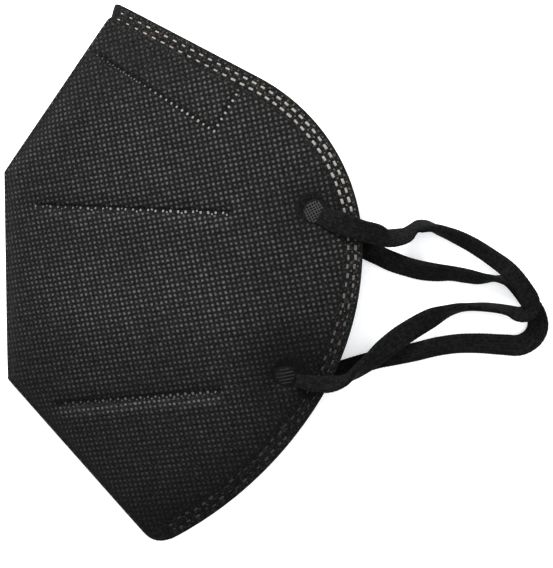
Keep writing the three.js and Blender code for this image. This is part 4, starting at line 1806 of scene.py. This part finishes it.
class StampTree:
    """A geometry node tree that sets a rounded plate on every point of a piece."""

    def __init__(self) -> None:
        """Builds the tree."""
        inputs = {
            "Geometry": ("NodeSocketGeometry", None),
            **{label: (FLOAT, value) for label, value in Stamp(1, 1, 0.2, 0.1).inputs().items()},
            "Seed": ("NodeSocketInt", 1),
            "Material": ("NodeSocketMaterial", None),
        }
        outputs = {"Geometry": "NodeSocketGeometry"}
        graph, start, end = new_group("stamped_marks", "GeometryNodeTree", inputs, outputs)
        given = start.outputs
        lie, heading, size = (
            graph.get("GeometryNodeInputNamedAttribute", {"Name": name}, data_type="FLOAT_VECTOR")
            for name in CARRIED
        )
        axes = {"primary_axis": "Z", "secondary_axis": "X"}
        turn = graph.get("FunctionNodeAxesToRotation", {0: lie, 1: heading}, **axes)
        low = graph.math("SUBTRACT", 1.0, given["Size Change"])
        high = graph.math("ADD", 1.0, given["Size Change"])
        scale = graph.scaled(size, self._chance(graph, given, low, high))
        back = graph.math("MULTIPLY", given["Turn Change"], -1.0)
        swing = self._chance(graph, given, back, given["Turn Change"])
        angles = graph.get("ShaderNodeCombineXYZ", {2: swing})
        plate = self._plate(graph, given)
        inputs = {"Points": given["Geometry"], "Instance": plate, "Rotation": turn, "Scale": scale}
        placed = graph.get("GeometryNodeInstanceOnPoints", inputs)
        inputs = {"Instances": placed, "Rotation": angles}
        turned = graph.get("GeometryNodeRotateInstances", inputs)
        real = graph.get("GeometryNodeRealizeInstances", {"Geometry": turned})
        inputs = {"Geometry": real, "Material": given["Material"]}
        graph.feed(end.inputs["Geometry"], graph.get("GeometryNodeSetMaterial", inputs))
        self.tree = graph.tree

    @staticmethod
    def _chance(graph: Graph, given: bpy.types.NodeOutputs, low: Socket, high: Socket) -> Socket:
        """A random number for each mark, between two others."""
        inputs = {2: low, 3: high, "Seed": given["Seed"]}
        return graph.add("FunctionNodeRandomValue", inputs, data_type="FLOAT").outputs[1]

    @staticmethod
    def _plate(graph: Graph, given: bpy.types.NodeOutputs) -> Socket:
        """Adds the nodes of one closed, rounded plate with a smaller top."""
        sides = {"Width": given["Length"], "Height": given["Width"]}
        outline = graph.get("GeometryNodeCurvePrimitiveQuadrilateral", sides)
        inputs = {"Curve": outline, "Radius": given["Corner"]}
        rounded = graph.add("GeometryNodeFilletCurve", inputs, mode="POLY")
        graph.feed(rounded.inputs["Count"], 3)
        graph.feed(rounded.inputs["Limit Radius"], True)
        flat = graph.get("GeometryNodeFillCurve", {"Curve": rounded.outputs[0]}, mode="NGONS")
        up = graph.get("ShaderNodeCombineXYZ", {2: given["Thickness"]})
        inputs = {"Mesh": flat, "Offset": up, "Offset Scale": 1.0}
        raised = graph.add("GeometryNodeExtrudeMesh", inputs).outputs
        inputs = {"Geometry": raised[0], "Selection": raised[1], "Scale": given["Crown"]}
        domed = graph.get("GeometryNodeScaleElements", inputs)
        both = graph.add("GeometryNodeJoinGeometry")
        for part in (domed, graph.get("GeometryNodeFlipFaces", {"Mesh": flat})):
            graph.tree.links.new(part, both.inputs[0])
        inputs = {"Geometry": both.outputs[0], "Distance": 0.000001}
        return graph.get("GeometryNodeMergeByDistance", inputs)

    def press(self, name: str, marks: Marks, stamp: Stamp, material: Material) -> None:
        """Stamps every mark, turns the result into a plain piece and seats it.

        Args:
            name: The piece's name.
            marks: Where the marks are.
            stamp: Their form.
            material: Their material.
        """
        seeds = bpy.data.meshes.new(name + "_seeds")
        seeds.from_pydata((marks.places * MM).tolist(), [], [])
        for label in CARRIED:
            layer = seeds.attributes.new(label, "FLOAT_VECTOR", "POINT")
            layer.data.foreach_set("vector", getattr(marks, label).astype(float).ravel())
        source = linked(name + "_seeds", seeds)
        modifier = source.modifiers.new("stamps", "NODES")
        modifier.node_group = self.tree
        values = {**stamp.inputs(), "Material": material}
        for item in self.tree.interface.items_tree:
            if item.in_out == "INPUT" and item.name in values:
                modifier[item.identifier] = values[item.name]
        graph = bpy.context.evaluated_depsgraph_get()
        mesh = bpy.data.meshes.new_from_object(source.evaluated_get(graph))
        mesh.name = name
        bpy.data.objects.remove(source)
        bpy.data.meshes.remove(seeds)
        for label in CARRIED:
            if label in mesh.attributes:
                mesh.attributes.remove(mesh.attributes[label])
        piece = linked(name, mesh)
        shade(piece, 35.0)
        seat(piece, material)


@dataclass(frozen=True)
class SpotRow:
    """How the spots lie along one rib, from its start to some way before its end."""

    start: float
    stop: float
    lean: float
    swing: tuple[float, ...]
    small: tuple[int, ...]
    left_out: tuple[int, ...]


SPOT_ROWS = {
    "upper_rib": SpotRow(0.37, 0.6, -0.05, (-0.42, 0.42), (3,), (1,)),
    "lower_rib": SpotRow(3.4, 1.6, 0.22, (-0.52,), (1, 3), ()),
}


@dataclass(frozen=True)
class WeldMarks:
    """Every welded mark on the shell's two outer faces."""

    cloth: Cloth
    tree: StampTree
    finishes: dict
    spot_pitch: float = 1.1175
    pocket_pitch: float = 1.87
    pocket_end_pitch: float = 2.1
    edge_pitch: float = 2.2

    def add(self, panel: Panel) -> None:
        """Adds every mark of one panel."""
        side, welds, length = panel.name.lower(), self.cloth.welds, self.cloth.form.rim_length
        along = welds.places(length)
        rows = [self._along_rim(panel, along, row) for row in welds.rows]
        stamp = Stamp(welds.dash_long, welds.dash_wide, 0.22, 0.14, seed=5)
        self._press(f"{side}_rim_dashes", rows, stamp, "dash")
        edge = np.arange(1.2, length - 1.0, self.edge_pitch)
        between = (along[:-1] + along[1:]) / 2.0
        rows = ((edge, welds.edge_dots), (between, welds.middle_dots))
        rows = [self._along_rim(panel, *row) for row in rows]
        stamp = Stamp(0.55, 0.5, 0.24, 0.1, size_change=0.2, seed=9)
        self._press(f"{side}_rim_dots", rows, stamp, "small_dot")
        ribs = [line for line in WELD_LINES if line.is_rib]
        pocket = [line for line in WELD_LINES if not line.is_rib]
        stamp = Stamp(0.64, 0.86, 0.27, 0.14, size_change=0.16, turn_change=0.5, seed=13)
        for line in ribs:
            spots = [self._rib_spots(panel, line)]
            self._press(f"{side}_{line.name}_spots", spots, stamp, line.name)
        rows = [self._pocket_dots(panel, line) for line in pocket]
        stamp = Stamp(0.75, 0.95, 0.3, 0.14, seed=17)
        self._press(f"{side}_pocket_dots", rows, stamp, "pocket")

    def _press(self, name: str, rows: list[Marks], stamp: Stamp, finish: str) -> None:
        """Stamps some rows of marks as one piece."""
        self.tree.press(name, Marks.together(rows), stamp, self.finishes[finish])

    def _along_rim(self, panel: Panel, along: Array, row: float) -> Marks:
        """Marks at one distance from the rim, poorly pressed towards the chin.

        Args:
            panel: Which panel.
            along: Places along the rim.
            row: The row's distance from the rim.

        Returns:
            The marks.
        """
        chance = np.random.default_rng(round(row * 100.0))
        poor = smooth(along, 98.0, 136.0)
        along = along + poor * chance.uniform(-0.6, 0.6, len(along))
        places, headings = self.cloth.form.rim_at(along)
        row = row + poor[:, None] * chance.uniform(-0.4, 0.4, (len(along), 1))
        full = smooth(along, 15.0, 75.0) * (1.0 - poor * chance.uniform(0.0, 1.6, len(along)))
        begun = blend(0.66, 1.0, smooth(along, 2.0, 12.0))
        scales = (blend(0.8, 1.08, full) * begun, blend(0.62, 1.08, full) * begun)
        flat = places + right_of(headings) * row
        return Marks.on(self.cloth, panel, flat, headings, scales)

    def _rib_spots(self, panel: Panel, line: WeldLine) -> Marks:
        """The spots along one rib: threes with a gap between, or a close zig-zag.

        Args:
            panel: Which panel.
            line: The rib.

        Returns:
            The marks.
        """
        row, chance = SPOT_ROWS[line.name], np.random.default_rng(21)
        along = np.arange(row.start, line.length - row.stop, self.spot_pitch)
        turn = np.arange(len(along)) % 4
        is_small, shown = np.isin(turn, row.small), ~np.isin(turn, row.left_out)
        swing = row.swing[0]
        if len(row.swing) > 1:
            swing = chance.choice(row.swing, len(along))
        side = swing * is_small + chance.uniform(-0.12, 0.12, len(along)) + row.lean
        flat = (line.at(along) + side[:, None] * line.side)[shown]
        grown = blend(0.82, 1.1, smooth(flat[:, 0], -46.0, 6.0))
        scale = np.where(is_small[shown], 0.68, 1.0) * grown
        headings = np.tile(line.heading, (len(flat), 1))
        return Marks.on(self.cloth, panel, flat, headings, (scale, scale))

    def _pocket_dots(self, panel: Panel, line: WeldLine) -> Marks:
        """The dots along one line of the nose pocket, doubled towards the nose.

        Args:
            panel: Which panel.
            line: The line.

        Returns:
            The marks.
        """
        is_long = line.name == "nose_pocket"
        pitch = self.pocket_pitch if is_long else self.pocket_end_pitch
        count = round(line.length / pitch) * (2 if is_long else 1)
        along = np.linspace(0.0, line.length, count + 1)[1:]
        is_extra = (np.arange(count) % 2 == 0) & is_long
        flat = line.at(along) - (0.25 * is_extra)[:, None] * line.side
        shown = ~is_extra | ((flat[:, 0] < -12.5) & (flat[:, 0] > -23.0))
        flat, is_extra = flat[shown], is_extra[shown]
        headings = np.tile(line.heading, (len(flat), 1))
        grown = smooth(flat[:, 0], -26.0, 4.0)
        across = blend(0.66, 0.96, grown) * np.where(is_extra, 0.72, 1.0)
        return Marks.on(self.cloth, panel, flat, headings, (blend(0.58, 0.96, grown), across))


def tube(rings: Array, tips: Array) -> tuple[Array, list]:
    """Closes a row of rings of points into one skin with a tip at each end.

    Args:
        rings: Points by ring and by place round it.
        tips: The points that close the first and the last ring.

    Returns:
        The points and the faces.
    """
    rows, sides = rings.shape[:2]
    index = np.arange(rows * sides).reshape(rows, sides)
    ahead = np.roll(index, -1, axis=1)
    quads = np.stack((index[:-1], ahead[:-1], ahead[1:], index[1:]), -1).reshape(-1, 4)
    faces = quads.tolist()
    for row, tip in ((0, rows * sides), (-1, rows * sides + 1)):
        faces += [[int(a), int(b), tip] for a, b in zip(index[row], ahead[row], strict=True)]
    return np.vstack((rings.reshape(-1, 3), tips)), faces


# ------------------------------------------------------------------ the weld pads


@dataclass(frozen=True)
class WeldPad:
    """A pad where an ear loop's end is melted onto the cloth, with pressed ridges."""

    cloth: Cloth
    spot: PadSpot
    panel: Panel
    top: float = 0.46
    bottom: float = -0.25
    rings: tuple[tuple[float, float], ...] = (
        (0.35, 0.46), (0.7, 0.44), (0.88, 0.36), (0.97, 0.2), (1.0, -0.02), (0.97, -0.2), (0.5, -0.25)
    )
    sides: int = 40
    squareness: float = 0.85
    ridge_inset: float = 0.93

    def _frame(self, degrees: float) -> tuple[Array, Array, Array, Array]:
        """The pad's centre and three directions: ahead at some turn, aside and outward."""
        flat = self.spot.centre[None]
        centre = self.cloth.outer(self.panel, flat)[0][0]
        normal = self.cloth.normals(self.panel, flat)[0]
        turn = math.radians(degrees)
        ahead = np.array((math.cos(turn), math.sin(turn), 0.0))
        ahead = unit(ahead - normal * (ahead @ normal))
        return centre, ahead, np.cross(normal, ahead), normal

    def body(self, name: str) -> Piece:
        """The pad itself: a low rounded disc."""
        centre, ahead, aside, normal = self._frame(self.spot.turn)
        x, y = rounded_ring(self.sides, self.squareness)
        x, y = x * self.spot.half_long, y * self.spot.half_wide
        ring = x[:, None] * ahead + y[:, None] * aside
        raised = normal * self.spot.rise
        rings = [centre + share * ring + raised * height for share, height in self.rings]
        tips = [centre + raised * height for height in (self.top, self.bottom)]
        piece = new_object(name, *tube(np.array(rings), np.array(tips)))
        shade(piece, 60.0)
        return piece

    def _reach(self, way: float, off: float) -> tuple[float, float]:
        """Where a line across the pad enters and leaves it.

        Args:
            way: The line's turn from the pad's long axis, in radians.
            off: Its distance to the left of the pad's centre.

        Returns:
            The two distances along the line, equal where it misses the pad.
        """
        along = np.array((math.cos(way), math.sin(way)))
        across = np.array((-math.sin(way), math.cos(way)))
        halves = np.array((self.spot.half_long, self.spot.half_wide)) * self.ridge_inset
        ahead, start = along / halves, across * off / halves
        a, b, c = ahead @ ahead, ahead @ start, start @ start - 1.0
        root = b * b - a * c
        if root <= 0.0:
            return 0.0, 0.0
        return (-b - math.sqrt(root)) / a, (-b + math.sqrt(root)) / a

    def ridges(self) -> Marks:
        """The ridges that the weld's face leaves, one way or crossed."""
        chance = np.random.default_rng(round(abs(self.spot.x) * 10.0))
        turns = (self.spot.hatch, self.spot.hatch + 90.0)
        places, headings, sizes = [], [], []
        for degrees in turns if self.spot.crossed else turns[:1]:
            centre, ahead, aside, normal = self._frame(degrees)
            raised = normal * (self.top * self.spot.rise - 0.06)
            for step in range(-5, 6):
                off = step * self.spot.pitch + chance.uniform(-0.08, 0.08)
                low, high = self._reach(math.radians(degrees - self.spot.turn), off)
                length = high - low - 0.4 - chance.uniform(0.0, 0.8)
                if length < 0.8:
                    continue
                places.append(centre + aside * off + ahead * ((low + high) / 2.0) + raised)
                headings.append(ahead)
                sizes.append((length, chance.uniform(0.75, 1.15), 1.0))
        normals = np.tile(normal, (len(places), 1))
        return Marks(np.array(places), normals, np.array(headings), np.array(sizes))


def add_weld_pads(cloth: Cloth, tree: StampTree, finishes: dict) -> None:
    """Builds the four pads that hold the ear loops, each with its ridges."""
    stamp = Stamp(1.0, 0.2, 0.06, 0.1, 0.9, 0.0, 0.0)
    for side, panel in (("near", Panel.UPPER), ("far", Panel.LOWER)):
        for spot in PAD_SPOTS:
            node, pad = f"{side}_{spot.name}", WeldPad(cloth, spot, panel)
            seat(pad.body(node + "_body"), finishes["pad"], node)
            tree.press(node + "_ridges", pad.ridges(), stamp, finishes["ridge"])


# ------------------------------------------------------------------ the ear loops


@dataclass(frozen=True)
class LoopStop:
    """One point of an ear loop's centre line, with the strap's roll, width and thickness."""

    x: float
    y: float
    z: float
    roll: float
    wide: float = 5.8
    thick: float = 1.5


# Each row is one LoopStop: x, y, z, roll, and the width and thickness where they differ.
NEAR_LOOP = (
    (40.7, 17.4, 11.6, 2, 6.4, 1.0), (43.6, 16.0, 12.3, 2, 6.6, 1.2),
    (47.6, 14.5, 12.7, 3, 6.8), (52.8, 12.65, 12.5, 4, 6.3),
    (57.4, 11.5, 10.2, -3, 6.4), (60.8, 10.4, 7.7, -16, 5.6),
    (62.8, 10.5, 6.3, -26, 6.0), (66.6, 11.5, 4.4, -38, 5.9),
    (68.9, 13.35, 3.9, -60, 5.6, 1.7), (70.7, 14.0, 3.5, -60, 6.3, 2.3),
    (73.2, 14.0, 3.2, -72, 5.9, 2.7), (76.3, 13.0, 3.1, -101, 5.8, 2.7),
    (80.9, 11.2, 3.1, -121, 6.2, 2.1), (86.1, 8.6, 3.6, -130, 6.2, 1.8),
    (92.2, 4.6, 5.0, -142), (97.5, 0.4, 6.9, -160, 5.5),
    (101.6, -4.5, 6.5, -166, 5.3), (103.5, -8.1, 5.5, -176, 5.9),
    (103.8, -10.7, 4.7, -182, 5.4), (102.6, -12.1, 4.3, -172, 5.1),
    (100.2, -12.3, 4.0, -146, 5.2), (97.5, -11.3, 3.8, -118, 5.7, 1.8),
    (94.0, -10.6, 3.4, -108, 5.8, 2.0), (88.6, -10.15, 3.2, -99, 5.8, 2.3),
    (82.2, -10.5, 3.2, -79, 6.0, 2.5), (78.0, -11.8, 3.3, -57, 6.7, 1.9),
    (74.2, -13.5, 3.4, -36, 7.1, 1.7), (68.5, -16.7, 3.8, -22, 6.9),
    (64.0, -19.7, 4.1, -15, 6.8), (59.4, -23.4, 4.3, -19, 6.5, 1.6),
    (56.0, -26.3, 5.0, -36, 6.0, 2.0), (52.0, -29.2, 6.5, -58, 5.6, 2.6),
    (48.8, -31.3, 9.1, -96, 5.4, 2.6), (46.0, -32.4, 11.6, -136, 5.4, 2.0),
    (42.6, -33.1, 12.7, -172, 5.2), (38.6, -32.8, 12.5, -186, 4.8, 1.3),
    (33.6, -32.0, 11.3, -184, 4.4, 1.0),
)
FAR_LOOP = (
    (41.2, 15.4, 1.7, 0), (44.6, 12.4, 1.6, 0), (48.8, 9.9, 1.5, 0),
    (53.6, 7.6, 1.5, 6, 6.1), (58.6, 5.2, 2.1, 22, 6.2, 1.6),
    (62.7, 3.35, 2.6, 34, 6.9, 1.8), (67.2, 1.8, 2.8, 39, 6.9, 1.9),
    (71.4, 0.75, 2.8, 40, 7.0, 1.9), (75.9, 0.15, 2.8, 45, 6.9, 1.8),
    (80.1, -0.1, 2.95, 54, 6.7, 1.8), (84.6, -0.85, 3.05, 57, 6.7, 1.8),
    (88.8, -1.6, 3.1, 64, 6.3, 1.9), (93.4, -1.7, 3.1, 92, 5.8, 2.0),
    (97.4, -2.5, 2.8, 128), (101.1, -5.2, 2.0, 158),
    (104.2, -9.4, 1.2, 178, 5.7), (106.0, -13.0, 1.1, 188, 6.0),
    (106.2, -16.4, 1.2, 190, 6.4), (104.7, -19.4, 1.0, 185, 6.4),
    (101.0, -21.6, 1.0, 177, 6.4), (95.6, -21.5, 1.3, 171, 6.3),
    (88.8, -21.1, 1.4, 168, 6.1), (82.2, -21.2, 1.5, 164, 6.0),
    (75.9, -22.1, 1.4, 164, 5.9), (69.3, -23.7, 1.1, 172, 5.7),
    (63.0, -25.0, 0.8, 179, 5.6), (57.6, -26.05, 0.8, 180, 5.6),
    (52.0, -27.7, 1.0, 180), (46.2, -29.4, 1.4, 180),
    (40.2, -30.4, 1.6, 180), (34.4, -30.8, 1.7, 180),
)


def rounded_line(points: Array, share: float, steps: int) -> Array:
    """A smooth curve through points, with extra columns carried along.

    Args:
        points: The points, one a row.
        share: 0.5 spaces the curve by the root of each step, and 0 evenly.
        steps: How many pieces each step is divided into.

    Returns:
        The curve's points.
    """
    first, last = 2.0 * points[0] - points[1], 2.0 * points[-1] - points[-2]
    whole = np.vstack((first, points, last))
    at = np.arange(steps)[:, None] / steps
    square, cube = at**2, at**3
    pieces = []
    for p0, p1, p2, p3 in zip(whole, whole[1:], whole[2:], whole[3:], strict=False):
        t0, t1, t2 = (np.linalg.norm(b - a) ** share for a, b in ((p0, p1), (p1, p2), (p2, p3)))
        leave = t1 * ((p1 - p0) / t0 - (p2 - p0) / (t0 + t1) + (p2 - p1) / t1)
        arrive = t1 * ((p2 - p1) / t1 - (p3 - p1) / (t1 + t2) + (p3 - p2) / t2)
        piece = p1 * (2.0 * cube - 3.0 * square + 1.0) + leave * (cube - 2.0 * square + at)
        pieces.append(piece + p2 * (3.0 * square - 2.0 * cube) + arrive * (cube - square))
    return np.vstack((*pieces, points[-1]))


@dataclass(frozen=True)
class EarLoop:
    """A flat knitted elastic strap that leaves the mask and goes back into it."""

    name: str
    node: str
    stops: tuple[tuple[float, ...], ...]
    width: float = 5.8
    step: float = 0.5
    fineness: int = 24
    ring: int = 64
    squareness: float = 0.62
    ribs: int = 6
    rib_depth: float = 0.028
    end_taper: float = 5.0
    end_width: float = 0.9
    end_thickness: float = 0.6
    edge_wave: float = 0.05

    def centre_line(self) -> tuple[Array, Array]:
        """The strap's centre line in even steps, with its roll, width and thickness."""
        stops = [LoopStop(*row) for row in self.stops]
        places = np.array([(stop.x, stop.y, stop.z) for stop in stops])
        sections = np.array([(stop.roll, stop.wide, stop.thick) for stop in stops])
        fine = rounded_line(places, 0.5, self.fineness)
        carried = rounded_line(sections, 0.0, self.fineness)
        lengths = lengths_along(fine)
        at = np.linspace(0.0, lengths[-1], round(lengths[-1] / self.step) + 1)
        return read_between(at, lengths, fine), read_between(at, lengths, carried)

    def build(self, material: Material) -> None:
        """Args:
            material: The knitted elastic.
        """
        line, section = self.centre_line()
        along = lengths_along(line)
        total = along[-1]
        tangent = unit(np.gradient(line, axis=0))
        level = unit(np.stack((-tangent[:, 1], tangent[:, 0], np.zeros(len(line))), -1))
        rise = np.cross(tangent, level)
        angle = np.radians(section[:, :1])
        width_axis = level * np.cos(angle) + rise * np.sin(angle)
        thick_axis = np.cross(tangent, width_axis)
        wide, thick = rounded_ring(self.ring, self.squareness)
        thick = thick * (1.0 + self.rib_depth * np.cos(math.pi * self.ribs * wide))
        ease = smooth(np.minimum(along, total - along), 0.0, self.end_taper)
        half_width = section[:, 1] / 2.0 * blend(self.end_width, 1.0, ease)
        half_width = half_width + self.edge_wave * np.sin(along * 5.2) * ease
        half_thick = section[:, 2] / 2.0 * blend(self.end_thickness, 1.0, ease)
        x, y = half_width[:, None] * wide[None], half_thick[:, None] * thick[None]
        rings = line[:, None] + x[..., None] * width_axis[:, None]
        rings = rings + y[..., None] * thick_axis[:, None]
        piece = new_object(self.name, *tube(rings, line[[0, -1]]))
        knit = np.zeros((len(piece.data.vertices), 2))
        knit[:-2, 0] = np.tile(wide * self.width / 2.0, len(line))
        knit[:-2, 1] = np.repeat(along, self.ring)
        knit[-1, 1] = total
        write_map(piece.data, "knit", knit[corner_points(piece.data)])
        shade(piece, 70.0)
        seat(piece, material, self.node)


# ------------------------------------------------------------------ the studio


@dataclass(frozen=True)
class Studio:
    """A pale table, soft light and a camera that looks straight down."""

    view_height: float = 0.1698
    centre: tuple[float, float] = (0.02775, -0.0033)
    subject_height: float = 0.006
    lens: float = 200.0
    sensor: float = 36.0
    floor_size: float = 3.0
    floor_drop: float = 0.05
    glow: float = 0.35
    sky: tuple[float, ...] = (0.97, 0.985, 1.0, 1.0)
    sky_strength: float = 1.4
    lamp_place: tuple[float, ...] = (-0.2, 0.46, 0.34)
    lamp_size: float = 0.25
    lamp_power: float = 7.0

    def camera(self) -> None:
        """Puts the camera above the mask."""
        data = bpy.data.cameras.new("camera")
        data.lens = self.lens
        data.sensor_width = self.sensor
        data.clip_start, data.clip_end = 0.05, 10.0
        camera = linked("camera", data)
        distance = self.view_height * self.lens / self.sensor
        camera.location = (*self.centre, distance + self.subject_height)
        bpy.context.scene.camera = camera

    def floor(self, effects: Effects) -> None:
        """Lays the pale table top."""
        half = self.floor_size / MM / 2.0
        corners = half * np.array(((-1, -1, 0), (1, -1, 0), (1, 1, 0), (-1, 1, 0)))
        corners[:, 2] = -self.floor_drop
        table = new_object("table_top", corners, [(0, 1, 2, 3)])
        uniform = {"Roughness": 0.6, "Specular_IOR_Level": 0.1}
        glow = {"Emission_Strength": self.glow, "Emission_Color": self.sky}
        surface = Surface("pale_table", effects, **uniform, **glow)
        tone = surface.noise(surface.position, 6.0, 3.0)
        colour = surface.mix(tone, grey(0.86), grey(0.9))
        surface.feed(surface.shader.inputs["Base Color"], colour)
        table.data.materials.append(surface.material)

    def lights(self) -> None:
        """Lights the table from the far side, with a pale sky all round."""
        scene = bpy.context.scene
        scene.world = bpy.data.worlds.new("studio")
        scene.world.use_nodes = True
        background = scene.world.node_tree.nodes["Background"]
        background.inputs["Color"].default_value = self.sky
        background.inputs["Strength"].default_value = self.sky_strength
        data = bpy.data.lights.new("key_light", "AREA")
        data.shape = "SQUARE"
        data.size = self.lamp_size
        data.energy = self.lamp_power
        lamp = linked("key_light", data)
        lamp.location = self.lamp_place
        aim = Vector((*self.centre, 0.0)) - Vector(self.lamp_place)
        lamp.rotation_euler = aim.to_track_quat("-Z", "Y").to_euler()
        scene.view_settings.view_transform = "Standard"


# ------------------------------------------------------------------ the whole mask


def declare_sheet(cloth: Cloth) -> None:
    outline = Shell(cloth).outline


def main() -> None:
    """Builds the camera, the loops, the shell and its marks, and reports each piece."""
    logging.basicConfig(level=logging.INFO, format="%(name)s: %(message)s")
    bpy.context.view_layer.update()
    studio = Studio()
    studio.camera()
    effects = Effects()
    finishes = make_finishes(effects)
    EarLoop("near_loop_strap", "near_ear_loop", NEAR_LOOP).build(finishes["elastic"])
    EarLoop("far_loop_strap", "far_ear_loop", FAR_LOOP).build(finishes["elastic"])

    cloth = Cloth()
    shell = Shell(cloth).build(finishes)
    seat(shell, finishes["cloth"], "mask_body")
    declare_sheet(cloth)

    tree = StampTree()
    marks = WeldMarks(cloth, tree, finishes)
    for panel in Panel:
        marks.add(panel)
    add_weld_pads(cloth, tree, finishes)
    studio.floor(effects)
    studio.lights()


if __name__ == "__main__":
    main()
